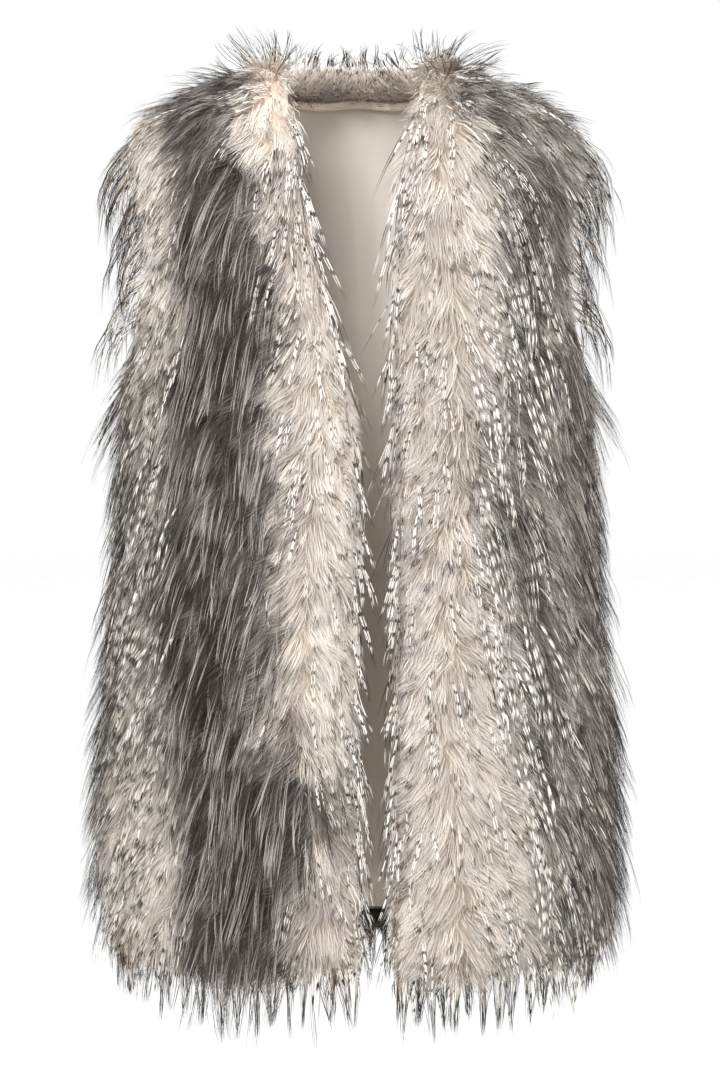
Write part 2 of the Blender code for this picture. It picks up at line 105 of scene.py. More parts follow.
# Hair is drawn at these places along its length. A guard hair is a few fibres that fray at the tip.
COAT_STEPS = np.array((0.0, 0.45, 1.0))
COAT_SPRING = 0.14  # how far a hair's end stands off the pelt, as a share of how far it lies along it
GUARD_STEPS = np.array((0.0, 0.25, 0.5, 0.76, 1.0))
GUARD_TAPER = (0.7, 1.0, 1.0, 0.80)
FIBRES = 3
FIBRE_SPREAD = 0.0008
LOCK_SPREAD = 0.0004
FIBRE_FRAY = (0.5, 0.7, 0.7, 0.8, 1.2)
FIBRE_SWAY = 0.0014
FIBRE_SHIFT = 0.010  # how far the bars of a hair's fibres are out of step

# Kinds of guard hair: their shares of a guard hair's length and width, how straight down they hang, how much
# more they stand up on top and at the sides, and whether neighbours' bars lie in rows
GuardKind = namedtuple("GuardKind", "name length width hang spring rows")
GUARD_KINDS = (
    GuardKind("dark", 1.15, 0.34, 0.80, 0.1, False),
    GuardKind("ticked", 0.54, 0.56, 0.20, 0.35, False),
    GuardKind("dotted", 1.05, 0.48, 0.90, 0.0, False),
    GuardKind("feathered", 0.95, 1.15, 1.0, 0.0, True),
    GuardKind("tipped", 0.92, 0.46, 0.75, 1.1, False),
)
KIND_NAMES = [kind.name for kind in GUARD_KINDS]
ROW_PITCH = 0.0130  # from one row of bars to the next
ROWS_ON_HAIR = 5
ROW_LENGTH = ROWS_ON_HAIR * ROW_PITCH

# The heights that feathered hair grows between on a panel's strips, and how thickly
BarSpan = namedtuple("BarSpan", "top bottom share")
BAR_SPANS = {
    "front_right": BarSpan(-0.18, -0.44, 0.40),
    "front_left": BarSpan(-0.09, -0.75, 0.62),
    "back": BarSpan(-0.12, -0.75, 0.55),
}

# Locks by the first word of their solid's name: how full they are, their shares of dark-tipped and of dotted
# hairs, the share of the front opening that their tips swing into, how far those drop, and how loose they are
LockKind = namedtuple("LockKind", "fullness tipped dotted opening drop loose")
LOCK_KINDS = {
    "hem": LockKind(1.1, 0.8, 0.0, 0.0, 0.0, 0.05),
    "edge": LockKind(0.6, 0.2, 0.6, 0.36, 0.011, 1.3),
    "armhole": LockKind(0.6, 0.6, 0.2, 0.0, 0.022, 1.2),
    "neck": LockKind(0.7, 0.6, 0.0, 0.0, 0.0, 0.9),
}
LOCK_MIN = 0.006  # the long edges that meet in a lock's tip are longer than this
LOCK_SCATTER = 0.0050  # how far the hairs of a lock lie apart
LOCK_DEPTH = 0.001  # how deep in the pelt they are rooted

Surface = namedtuple("Surface", "points faces normals")
Roots = namedtuple("Roots", "points normals ways tone")
Ground = namedtuple("Ground", "panel surface kept area")  # a panel's pelt, and the faces that hair grows on
Tufts = namedtuple("Tufts", "size lift steps sag pull swirl")

# Front edges of the two fronts, and the partings that the hair is combed away from
EdgeRow = namedtuple("EdgeRow", "height right_front left_front")
FRONT_EDGES = (
    EdgeRow(-0.675, 0.002, 0.029),
    EdgeRow(-0.543, -0.002, 0.031),
    EdgeRow(-0.390, -0.002, 0.033),
    EdgeRow(-0.313, -0.001, 0.032),
    EdgeRow(-0.237, -0.007, 0.031),
    EdgeRow(-0.160, -0.024, 0.031),
    EdgeRow(-0.084, -0.044, 0.038),
    EdgeRow(0.020, -0.057, 0.055),
)
PARTING = {"front_right": -0.036, "front_left": 0.074}
PARTING_SOFTNESS = 0.008

# Bands of colour on the fronts
DarkBand = namedtuple("DarkBand", "height centre half_width")
DARK_BAND = (
    DarkBand(-0.700, -0.090, 0.040),
    DarkBand(-0.642, -0.089, 0.040),
    DarkBand(-0.589, -0.083, 0.040),
    DarkBand(-0.535, -0.085, 0.040),
    DarkBand(-0.482, -0.098, 0.040),
    DarkBand(-0.375, -0.103, 0.041),
    DarkBand(-0.321, -0.096, 0.038),
    DarkBand(-0.268, -0.097, 0.037),
    DarkBand(-0.214, -0.098, 0.036),
    DarkBand(-0.160, -0.092, 0.036),
    DarkBand(-0.053, -0.096, 0.031),
    DarkBand(-0.030, -0.112, 0.028),
    DarkBand(0.030, -0.118, 0.034),
)
Side = namedtuple("Side", "height strip grey")
RIGHT_SIDE = (
    Side(-0.675, 0.00, 0.30),
    Side(-0.600, -0.04, 0.20),
    Side(-0.500, 0.10, 0.40),
    Side(-0.430, 0.20, 0.55),
    Side(-0.330, 0.26, 0.65),
    Side(-0.220, 0.22, 0.60),
    Side(-0.160, 0.00, 0.00),
    Side(-0.060, -0.03, 0.00),
    Side(0.000, 0.30, 0.70),
)
Boundary = namedtuple("Boundary", "height edge")
LEFT_BOUNDARY = (
    Boundary(-0.690, 0.160),
    Boundary(-0.589, 0.150),
    Boundary(-0.535, 0.140),
    Boundary(-0.428, 0.127),
    Boundary(-0.375, 0.112),
    Boundary(-0.268, 0.108),
    Boundary(-0.214, 0.116),
    Boundary(-0.107, 0.120),
    Boundary(-0.053, 0.111),
    Boundary(0.000, 0.088),
    Boundary(0.040, 0.082),
)

# The line that the dense coat ends on at the hem, by the distance from the middle
HemRow = namedtuple("HemRow", "reach low")
HEM_LINE = (
    HemRow(0.000, -0.664),
    HemRow(0.030, -0.674),
    HemRow(0.060, -0.691),
    HemRow(0.100, -0.694),
    HemRow(0.130, -0.680),
    HemRow(0.155, -0.664),
    HemRow(0.190, -0.640),
    HemRow(0.215, -0.628),
)
COAT_FRINGE = 0.010  # how far the coat and the long hair may hang below that line
LONG_FRINGE = 0.066

# What each dressed panel stands for
Panel = namedtuple("Panel", "wall locks slot cut area coat")
PANELS = {
    "front_right": Panel(
        "front_right",
        ("hem_locks_right", "edge_locks_right", "armhole_locks_front_right"),
        "grey_fur",
        (0.30, 0.72),
        0.185,
        1.0,
    ),
    "front_left": Panel(
        "front_left",
        ("hem_locks_left", "edge_locks_left", "armhole_locks_front_left"),
        "cream_fur",
        (0.28, 0.72),
        0.170,
        1.0,
    ),
    "back": Panel(
        "back",
        ("hem_locks_back", "armhole_locks_back_right", "armhole_locks_back_left", "neck_locks"),
        "grey_fur",
        (0.58, 0.74),
        0.390,
        0.62,
    ),
}

# The binding's line of stitches, and the folds of the lining
SEAM_POINTS = 60
SEAM_INSET = 0.002  # from the binding's ends
SEAM_WINDOW = 0.008  # the lower edge's height is read this far to both sides
FOLD_PITCH = 0.048
FINE_FOLD_PITCH = 0.021

# The stage: a white room with three soft lamps
FLOOR_HALF = 30.0
SENSOR_WIDTH = 36.0  # millimetres
LOW_SKY = (0.60, 0.55, 0.50, 1.0)
LAMP_TARGET = (0.0, 0.0, -0.3)
Lamp = namedtuple("Lamp", "name place size power")
LAMPS = (
    Lamp("key", (-0.8, -2.5, 1.4), 1.0, 100.0),
    Lamp("fill", (1.8, -2.3, 0.2), 1.6, 40.0),
    Lamp("rim", (0.3, 2.4, 1.4), 1.6, 60.0),
)

PANEL_ITEMS = [(name, name.replace("_", " ").title(), "This panel of the vest") for name in PANELS]


def linear(red, green, blue):
    """A display colour from 0 to 255, as the linear colour that Blender's sockets take."""
    values = np.array((red, green, blue)) / 255
    low, high = values / 12.92, ((values + 0.055) / 1.055) ** 2.4
    return (*np.where(values <= 0.04045, low, high).tolist(), 1.0)


def colour(name, description, shade):
    """A colour property."""
    return FloatVectorProperty(
        name=name, description=description, default=linear(*shade), size=4, min=0, max=1, subtype="COLOR"
    )


def length(name, description, default):
    """A length property, in metres."""
    return FloatProperty(name=name, description=description, default=default, min=0, unit="LENGTH")


def angle(name, description, degrees):
    """An angle property."""
    return FloatProperty(name=name, description=description, default=math.radians(degrees), subtype="ANGLE")


def share(name, description, default):
    """A share from 0 to 1."""
    return FloatProperty(name=name, description=description, default=default, min=0, max=1, subtype="FACTOR")


def whole(name, description, default):
    """A whole number, from 1 up."""
    return IntProperty(name=name, description=description, default=default, min=1)


def density(name, description, default):
    """A number of hairs on an area."""
    return FloatProperty(name=name, description=description, default=default, min=0)


def spot(name, description, default):
    """A place in the scene, in metres."""
    return FloatVectorProperty(
        name=name, description=description, default=default, subtype="XYZ", unit="LENGTH"
    )


class FurSettings(bpy.types.PropertyGroup):
    """Sizes and colours of the fur."""

    sink: share("Pelt depth", "Share of the wall's thickness that hair fills", 0.62)
    coat_density: density("Undercoat density", "Undercoat hairs on a square centimetre", 58.0)
    coat_length: length("Undercoat length", "Length of an undercoat hair", 0.031)
    coat_width: length("Undercoat width", "Width of an undercoat hair", 0.00046)
    coat_lift: angle("Undercoat lift", "How far an undercoat hair stands off the pelt at its root", 48)
    coat_clump: length("Undercoat tuft", "Distance between the tufts of the undercoat", 0.013)
    barred_density: density("Barred density", "Barred hairs on a square centimetre, at the thickest", 0.8)
    ticked_density: density("Ticked density", "Hairs with a dark tick on a square centimetre of cream", 3.4)
    dark_density: density("Dark density", "Dark guard hairs on a square centimetre of the dark bands", 2.2)
    tipped_density: density("Tipped density", "Dark-tipped hairs on a square centimetre at the sides", 0.9)
    guard_length: length("Guard length", "Length of a guard hair", 0.068)
    guard_width: length("Guard width", "Width of a guard hair's fibre", 0.0010)
    guard_lift: angle("Guard lift", "How far a guard hair stands off the pelt at its root", 40)
    guard_clump: length("Guard lock", "Distance between the locks of guard hair", 0.024)
    lock_hairs: whole("Lock hairs", "Hairs in a lock on a free edge", 10)
    seed: whole("Seed", "Start of all that is random in the fur", 21)
    cream_tip: colour("Cream tip", "Tips in the cream strips", (245, 240, 234))
    cream_root: colour("Cream root", "Roots in the cream strips", (225, 209, 191))
    dark_tip: colour("Dark tip", "Tips in the dark bands", (70, 61, 56))
    dark_root: colour("Dark root", "Roots in the dark bands", (30, 25, 23))
    guard_white: colour("Guard white", "Pale parts of the guard hair", (240, 236, 229))
    bar: colour("Bar", "Bars and tips of the guard hair", (42, 36, 35))


class ClothSettings(bpy.types.PropertyGroup):
    """Sizes and colours of the lining, the binding and the facings."""

    satin: colour("Satin", "The lining", (217, 209, 200))
    tape: colour("Binding", "The binding under the neck", (250, 240, 226))
    thread: colour("Thread", "The binding's stitches", (222, 206, 186))
    fold: length("Lining fold", "How far the lining's soft folds swing", 0.0080)
    stitch_length: length("Stitch length", "Length of a stitch", 0.0024)
    stitch_pitch: length("Stitch pitch", "From one stitch to the next", 0.0036)
    stitch_radius: length("Stitch radius", "Half the thread's thickness", 0.00028)
    dark_pile: colour("Dark pile", "The facing along the hem", (50, 41, 38))
    pile_length: length("Pile length", "Length of the hem facing's hair", 0.010)
    pile_radius: length("Pile radius", "Half the thickness of the hem facing's hair", 0.0005)
    pile_density: density("Pile density", "Hairs of the hem facing on a square metre", 180_000)
    facing_hairs: whole("Neck hairs", "Hairs of the neck facing", 5200)
    facing_lift: angle("Neck lift", "How far the neck facing's hairs stand off at their roots", 24)
    facing_guard_lift: angle("Neck guard lift", "How far the neck facing's long hairs stand off", 42)
    tape_forward: length("Binding set-off", "How far the binding stands off the lining", 0.003)
    stitch_forward: length("Stitch set-off", "How far the stitches stand off the lining", 0.0031)
    stitch_rise: length("Stitch rise", "From the binding's lower edge up to its stitches", 0.0022)


class StageSettings(bpy.types.PropertyGroup):
    """Floor, light and camera."""

    floor_height: FloatProperty(
        name="Floor height", description="The floor's height", default=-1.40, unit="LENGTH"
    )
    floor: colour("Floor", "The floor's colour", (254, 254, 254))
    eye: spot("Camera", "Where the camera stands", (0.003, -3.2, -0.27))
    target: spot("Target", "What the camera looks at", (0.003, 0.0, -0.348))
    lens: FloatProperty(name="Lens", description="Focal length in millimetres", default=133.4, min=1)


def unit(vectors):
    """Vectors of length one."""
    return vectors / np.maximum(np.linalg.norm(vectors, axis=-1, keepdims=True), 1e-9)


def smooth(low, high, value):
    """A soft step from 0 at low to 1 at high."""
    t = np.clip((value - low) / (high - low), 0, 1)
    return t * t * (3 - 2 * t)


def along(rows, name, heights):
    """A table's column, read at these heights."""
    return np.interp(heights, [row.height for row in rows], [getattr(row, name) for row in rows])


def drift(points, size, seed):
    """Smooth noise, about -1 to 1, with features of this size."""
    chance = np.random.default_rng(seed)
    waves = unit(chance.normal(size=(9, 3))) * chance.uniform(0.6, 1.5, (9, 1)) * math.tau / size
    turns = chance.uniform(0, math.tau, 9)
    return np.sin(points @ waves.T + turns).sum(axis=1) / 3


def vertex_normals(points, faces):
    """Normals at the vertices of a triangle mesh, weighted by area."""
    a, b, c = (points[faces[:, k]] for k in range(3))
    flat = np.cross(b - a, c - a)
    normals = np.zeros_like(points)
    for k in range(3):
        np.add.at(normals, faces[:, k], flat)
    return unit(normals)


def node_surface(name):
    """A solid's triangles, with the corners that share a place made one."""
    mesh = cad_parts[name].data
    corners = np.empty(len(mesh.vertices) * 3, np.float32)
    mesh.vertices.foreach_get("co", corners)
    mesh.calc_loop_triangles()
    faces = np.empty(len(mesh.loop_triangles) * 3, np.int32)
    mesh.loop_triangles.foreach_get("vertices", faces)
    corners = np.round(corners.reshape(-1, 3).astype(np.float64), SAMPLE_DECIMALS)
    points, index = np.unique(corners, axis=0, return_inverse=True)
    faces = index.reshape(-1)[faces.reshape(-1, 3)]
    return Surface(points, faces, vertex_normals(points, faces))


def outward(points):
    """The way from the hollow's axis to each point."""
    start = np.zeros_like(points)
    start[:, 2] = np.minimum(points[:, 2], SHOULDER_AXIS)
    return unit(points - start)


def facing_out(points, normals):
    """How far each normal points away from the hollow, from -1 to 1."""
    return (outward(points) * normals).sum(axis=1)


def pelt_surface(wall, depth):
    """The wall with its outer face sunk by a share of the thickness there, so that hair fills the rest."""
    tree = BVHTree.FromPolygons(wall.points.tolist(), wall.faces.tolist())
    points = wall.points.copy()
    inward = -unit(wall.normals + 1.5 * outward(wall.points))
    for k in np.flatnonzero(facing_out(wall.points, wall.normals) > OUTER_FACING):
        way = Vector(inward[k])
        through = tree.ray_cast(Vector(points[k]) + way * 1e-4, way, 0.05)[3]
        if through is not None:
            points[k] += inward[k] * through * depth
    return Surface(points, wall.faces, vertex_normals(points, wall.faces))


def right_tone(x, z):
    """The front with a dark band between two cream strips."""
    off = np.abs(x - along(DARK_BAND, "centre", z)) / along(DARK_BAND, "half_width", z)
    band = 1 / (1 + off**6)
    outer = smooth(-0.120, -0.140, x) * along(RIGHT_SIDE, "strip", z)
    side = smooth(-0.168, -0.192, x) * along(RIGHT_SIDE, "grey", z)
    dull = 0.28 * np.exp(-(((z + 0.545) / 0.035) ** 2)) * smooth(-0.075, -0.05, x)
    low = 0.08 * smooth(-0.50, -0.62, z) * smooth(-0.075, -0.05, x)
    # Painted light: the tone is up to 0.20 lighter towards the top of the shoulder, where light falls from
    # above
    painted_top_light = 0.20 * smooth(-0.07, -0.01, z)
    return np.clip(0.93 - 0.77 * band - outer - low, 0.12, 1) - 0.45 * side - dull + painted_top_light


def left_tone(x, z):
    """The front that is cream from its edge to the dark side."""
    edge = along(LEFT_BOUNDARY, "edge", z)
    side = smooth(edge - 0.030, edge + 0.018, x)
    strip = np.exp(-(((x - edge) / 0.018) ** 2))
    return 0.86 - 0.34 * side - 0.21 * strip


def back_tone(x, z):
    """The back's bands: a dark one down the middle and at the sides, cream between them."""
    warped = x + 0.010 * np.sin(z * 11 + 0.6)
    bands = 0.5 + 0.5 * np.cos(math.tau * (np.abs(warped) - 0.062) / 0.128)
    side = smooth(0.150, 0.185, np.abs(x))
    corner = smooth(-0.02, 0.01, z) * np.exp(-(((np.abs(x) - NECK_CORNER) / 0.02) ** 2))
    return 0.12 + 0.80 * bands * (1 - side) + 0.24 * side + 0.6 * corner


def fur_tone(panel, points):
    """How light the fur is: 0 in the darkest band, 1 in the cream strips."""
    rule = {"front_right": right_tone, "front_left": left_tone, "back": back_tone}[panel]
    wander = points + 0.006 * np.stack([drift(points, 0.05, k) for k in (1, 2, 3)], axis=1)
    return np.clip(rule(wander[:, 0], wander[:, 2]) + 0.05 * drift(points, 0.03, 4), 0, 1)


def speckle(panel, points):
    """Where barred guard hair is thick: along the strips between cream and dark."""
    x, _, z = points.T
    if panel == "front_right":
        return smooth(-0.192, -0.176, x) * smooth(-0.126, -0.142, x)
    if panel == "front_left":
        edge = along(LEFT_BOUNDARY, "edge", z)
        return smooth(edge - 0.035, edge - 0.015, x) * smooth(edge + 0.035, edge + 0.012, x)
    return 0.6 * np.exp(-(((np.abs(x) - 0.095) / 0.02) ** 2))


def edge_distance(panel, points):
    """How far a point of a front is from its free front edge."""
    x, _, z = points.T
    if panel == "front_right":
        return along(FRONT_EDGES, "right_front", z) - x
    if panel == "front_left":
        return x - along(FRONT_EDGES, "left_front", z)
    return np.full(len(x), 1.0)


def edge_share(panel, points):
    """The share of its length that hair has near a front edge, so that the opening stays open."""
    near = smooth(0.03, 0.0, edge_distance(panel, points)) * smooth(-0.05, -0.14, points[:, 2])
    return 1 - 0.42 * near


def along_pelt(ways, normals):
    """Ways laid flat on the pelt."""
    return unit(ways - (ways * normals).sum(axis=1, keepdims=True) * normals)


def nape(points):
    """How near a point is to the rim behind the neck, where the fur is short."""
    x, y, z = points.T
    return smooth(0.065, 0.04, np.abs(x)) * smooth(0.03, 0.06, y) * smooth(0.0, 0.03, z)


def combed(panel, points, normals):
    """The way that the hair lies: down the body, out over the shoulders, away from the partings."""
    x, y, z = points.T
    if panel in PARTING:
        off = x - PARTING[panel] - 0.006 * np.sin(z * 17)
        fan = np.tanh(off / PARTING_SOFTNESS) * (0.42 + 0.95 * np.exp(-np.abs(off) / 0.042))
        fan *= np.clip(edge_distance(panel, points) / 0.035, 0.5, 1)
        fan += 0.3 * np.sign(x) * smooth(0.13, 0.185, np.abs(x))
    else:
        fan = 0.35 * np.tanh(x / 0.05)
    lie = np.stack([fan, np.zeros_like(fan), -np.ones_like(fan)], axis=1)
    out = 0.6 * np.sign(x) * np.tanh((np.abs(x) - NECK_CORNER) / 0.02)
    spread = np.stack([out, 0.5 * np.sign(y - 0.01), np.full_like(x, -0.45)], axis=1)
    over = smooth(-0.12, 0.01, z)[:, None]
    lie = lie * (1 - over) + spread * over
    lie += 0.18 * np.stack([drift(points, 0.045, 31), drift(points, 0.045, 32), 0 * x], axis=1)
    return along_pelt(lie, normals)


def sow(surface, kept, count, chance):
    """Points spread over the kept faces of a surface, with its normals there."""
    faces = surface.faces[kept]
    a, b, c = (surface.points[faces[:, k]] for k in range(3))
    areas = np.linalg.norm(np.cross(b - a, c - a), axis=1)
    picked = faces[chance.choice(len(faces), count, p=areas / areas.sum())]
    far, turn = np.sqrt(chance.random(count)), chance.random(count)
    weights = np.stack([1 - far, far * (1 - turn), far * turn], axis=1)[..., None]
    points = (surface.points[picked] * weights).sum(axis=1)
    return points, unit((surface.normals[picked] * weights).sum(axis=1))


def outer_faces(surface):
    """Which faces hair grows on, and their area."""
    middle = surface.points[surface.faces].mean(axis=1)
    a, b, c = (surface.points[surface.faces[:, k]] for k in range(3))
    flat = np.cross(b - a, c - a)
    kept = facing_out(middle, unit(flat)) > RIM_FACING
    return kept, np.linalg.norm(flat[kept], axis=1).sum() / 2


def rooted(ground, count, chance):
    """Hair roots on a panel, with the way the hair is combed there and the fur's tone."""
    points, normals = sow(ground.surface, ground.kept, count, chance)
    return Roots(points, normals, combed(ground.panel, points, normals), fur_tone(ground.panel, points))


def hair_curves(roots, lengths, lift, spring, steps, sag):
    """Hairs that spring off the pelt and lie down along the way they are combed. One row of points a hair."""
    start = np.cos(lift)[:, None] * roots.ways + np.sin(lift)[:, None] * roots.normals
    droop = sag * (1 - 0.75 * looking_up(roots.normals))[:, None]
    end = unit(roots.ways + spring[:, None] * roots.normals + droop * DOWN)
    at = steps[None, :, None]
    bent = at * start[:, None] + at**2 / 2 * (end - start)[:, None]
    return roots.points[:, None] + lengths[:, None, None] * bent


def held_in(curves):
    """Hairs shortened where they would stand too far out of the solids' box."""
    low, high = (np.array(corner) for corner in CAD_BOX)
    start, run = curves[:, :1], curves - curves[:, :1]
    room = np.where(run > 0, high + BOX_SLACK - start, start - low + BOX_SLACK)
    fit = np.maximum(room, 0.002) / np.maximum(np.abs(run), 1e-6)
    return start + run * np.clip(fit.min(axis=(1, 2)), 0.2, 1)[:, None, None]


def hemmed(curves, fringe, chance):
    """Hairs shortened where they would hang far below the hem's line."""
    root, tip = curves[:, 0], curves[:, -1]
    line = np.interp(np.abs(tip[:, 0]), [row.reach for row in HEM_LINE], [row.low for row in HEM_LINE])
    room = root[:, 2] - line + fringe * chance.random(len(curves))
    fit = np.clip(room / np.maximum(root[:, 2] - tip[:, 2], 1e-6), 0.3, 1)
    return curves[:, :1] + (curves - curves[:, :1]) * fit[:, None, None]


def nearest(points, centres):
    """The index of the closest centre to each point."""
    tree = KDTree(len(centres))
    for k, centre in enumerate(centres):
        tree.insert(centre, k)
    tree.balance()
    return np.array([tree.find(point)[1] for point in points])


def looking_up(normals):
    """How far a surface looks up: 0 on the walls, 1 on top of the shoulders."""
    return smooth(0.35, 0.95, normals[:, 2])


def shoulder_slope(points):
    """How far a point is out on the shoulders' slope: 0 at the neck's corners, 1 beyond them."""
    return smooth(SLOPE_START, SLOPE_END, np.abs(points[:, 0]) - NECK_CORNER)


def root_lift(panel, points, normals, lift, chance):
    """How steeply each hair stands at its root: more on top, less at the sides and on a front edge's roll."""
    top = looking_up(normals) * (1 - 1.4 * shoulder_slope(points))
    steep = lift + math.radians(24) * top + chance.normal(0, math.radians(13), len(points))
    near = smooth(0.022, -0.002, edge_distance(panel, points)) * smooth(-0.03, -0.12, points[:, 2])
    beside = smooth(0.5, 0.95, np.abs(normals[:, 0])) * smooth(-0.05, -0.14, points[:, 2])
    return steep * (1 - 0.5 * near) * (1 - 0.45 * beside)


def turned(ways, normals, turn):
    """Ways turned about the normals."""
    across = np.cross(normals, ways)
    return np.cos(turn)[:, None] * ways + np.sin(turn)[:, None] * across


def clumped(ground, roots, lengths, spring, tufts, chance):
    """Hairs drawn together into tufts: each leans towards the hair in the middle of its tuft."""
    panel, lift, steps, sag = ground.panel, tufts.lift, tufts.steps, tufts.sag
    count = max(1, int(ground.area / tufts.size**2))
    centres = rooted(ground, count, chance)
    own = nearest(roots.points, centres.points)
    shared = np.stack([np.bincount(own, roots.ways[:, k], count) for k in range(3)], axis=1)
    shared = unit(shared + 1e-6 * centres.ways)
    turn = chance.normal(0, 0.36 * tufts.swirl, count)
    centres = centres._replace(ways=turned(shared, centres.normals, turn))
    members = np.maximum(np.bincount(own, minlength=count), 1)
    middle_length, middle_spring = (np.bincount(own, values, count) / members for values in (lengths, spring))
    steep = root_lift(panel, centres.points, centres.normals, lift, chance)
    middle = hair_curves(centres, middle_length * 1.04, steep, middle_spring, steps, sag)
    steep = root_lift(panel, roots.points, roots.normals, lift, chance)
    curves = hair_curves(roots, lengths, steep, spring, steps, sag)
    drawn = tufts.pull * steps[None, :, None] ** 1.5 * chance.uniform(0.55, 1.0, (len(own), 1, 1))
    return held_in(curves + drawn * (middle[own] - curves)), own, count


def column_of(tone, columns):
    """The middle of the strand map's column for this tone."""
    return (np.clip(np.floor(tone * columns), 0, columns - 1) + 0.5) / columns


def ribbon(curves, across, width, taper, steps, column, columns):
    """Flat hairs with two corners a step and one at the tip: points, triangles and map for each."""
    rings = curves.shape[1] - 1
    half = across[:, None, :] * (np.asarray(taper)[None, :rings, None] * width[:, None, None] / 2)
    pairs = np.stack([curves[:, :rings] - half, curves[:, :rings] + half], axis=2)
    points = np.concatenate([pairs.reshape(len(curves), -1, 3), curves[:, rings:]], axis=1)
    faces = []
    for k in range(0, 2 * (rings - 1), 2):
        faces += [(k, k + 1, k + 3), (k, k + 3, k + 2)]
    faces.append((2 * rings - 2, 2 * rings - 1, 2 * rings))
    beside = np.array([-1, 1] * rings + [0]) * COLUMN_FILL / columns
    far = np.concatenate([np.repeat(steps[:rings], 2), steps[rings:]])
    return points, np.array(faces), strand_map(column, beside, far)


def spindle(curves, across, width, column, columns):
    """Fine hairs, widest in the middle and pointed at both ends: points, triangles and map for each."""
    half = across * width[:, None] / 2
    root, middle, tip = (curves[:, k] for k in range(3))
    points = np.stack([root, middle - half, middle + half, tip], axis=1)
    beside = np.array((0, -1, 1, 0)) * COLUMN_FILL / columns
    far = COAT_STEPS[[0, 1, 1, 2]]
    return points, np.array(((0, 2, 1), (1, 2, 3))), strand_map(column, beside, far)


def fibres(curves, normals, width, column, spread, chance):
    """Guard hairs, each frayed into flat fibres that part towards the tip, and normals for soft shading."""
    fine = np.repeat(curves, FIBRES, axis=0)
    count = len(fine)
    out = np.repeat(normals, FIBRES, axis=0)
    way = unit(fine[:, -1] - fine[:, 0])
    lean = unit(np.cross(way, out))
    fine += chance.normal(0, spread, (count, 1, 3)) * np.array(FIBRE_FRAY)[None, :, None]
    start = chance.uniform(0, math.tau, (count, 1))
    sway = chance.uniform(0, FIBRE_SWAY, (count, 1)) * (np.sin(start + 4.5 * GUARD_STEPS) - np.sin(start))
    fine += sway[..., None] * lean[:, None]
    twist = chance.uniform(-1.0, 1.0, count)[:, None]
    across = np.cos(twist) * lean + np.sin(twist) * np.cross(way, lean)
    flat, places = np.repeat(width, FIBRES), np.repeat(column, FIBRES)
    points, faces, mapped = ribbon(fine, across, flat, GUARD_TAPER, GUARD_STEPS, places, GUARD_COLUMNS)
    shifted = mapped[..., 1] + chance.normal(0, FIBRE_SHIFT, (count, 1))
    mapped[..., 1] = np.clip(shifted, MAP_EDGE, 1 - MAP_EDGE)
    return (points, faces, mapped), unit(out + chance.normal(0, 0.25, out.shape))


def strand_map(column, beside, far):
    """Where each corner lies on the strand map: its hair's column, and the place along the hair."""
    places = np.empty((len(column), len(far), 2))
    places[..., 0] = column[:, None] + beside
    places[..., 1] = np.clip(far, MAP_EDGE, 1 - MAP_EDGE)
    return places


def add_piece(name, mesh, replaced=()):
    """A finished piece in the scene, riding on the vest's one body."""
    piece = bpy.data.objects.new(name, mesh)
    bpy.context.scene.collection.objects.link(piece)
    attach(piece, BODY)
    if replaced:
        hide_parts(*replaced)
    return piece


def mesh_of(name, points, faces, finish):
    """A smooth triangle mesh with one material."""
    mesh = bpy.data.meshes.new(name)
    mesh.vertices.add(len(points))
    mesh.vertices.foreach_set("co", points.astype(np.float32).ravel())
    mesh.loops.add(faces.size)
    mesh.loops.foreach_set("vertex_index", faces.astype(np.int32).ravel())
    mesh.polygons.add(len(faces))
    mesh.polygons.foreach_set("loop_start", np.arange(0, faces.size, 3, dtype=np.int32))
    mesh.polygons.foreach_set("use_smooth", np.ones(len(faces), bool))
    mesh.update(calc_edges=True)
    mesh.materials.append(finish)
    return mesh


def hair_pieces(name, strands, finish, replaced=(), normals=None):
    """Hair as joined meshes, in as many pieces as its triangles need, with the normals it is given."""
    points, faces, places = strands
    pieces = []
    parts = math.ceil(len(points) * len(faces) / PIECE_TRIANGLES)
    for k, some in enumerate(np.array_split(np.arange(len(points)), parts)):
        corners = points.shape[1]
        joined = (faces[None] + corners * np.arange(len(some))[:, None, None]).reshape(-1, 3)
        label = name if parts == 1 else f"{name}_{k + 1}"
        mesh = mesh_of(label, points[some].reshape(-1, 3), joined, finish)
        spread = places[some].reshape(-1, 2)[joined.ravel()].astype(np.float32)
        for layer in (STRAND_MAP, BAKE_MAP):
            mesh.uv_layers.new(name=layer).data.foreach_set("uv", spread.ravel())
        if normals is not None:
            mesh.normals_split_custom_set_from_vertices(np.repeat(normals[some], corners, axis=0))
        pieces.append(add_piece(label, mesh, replaced if k == 0 else ()))
    return pieces


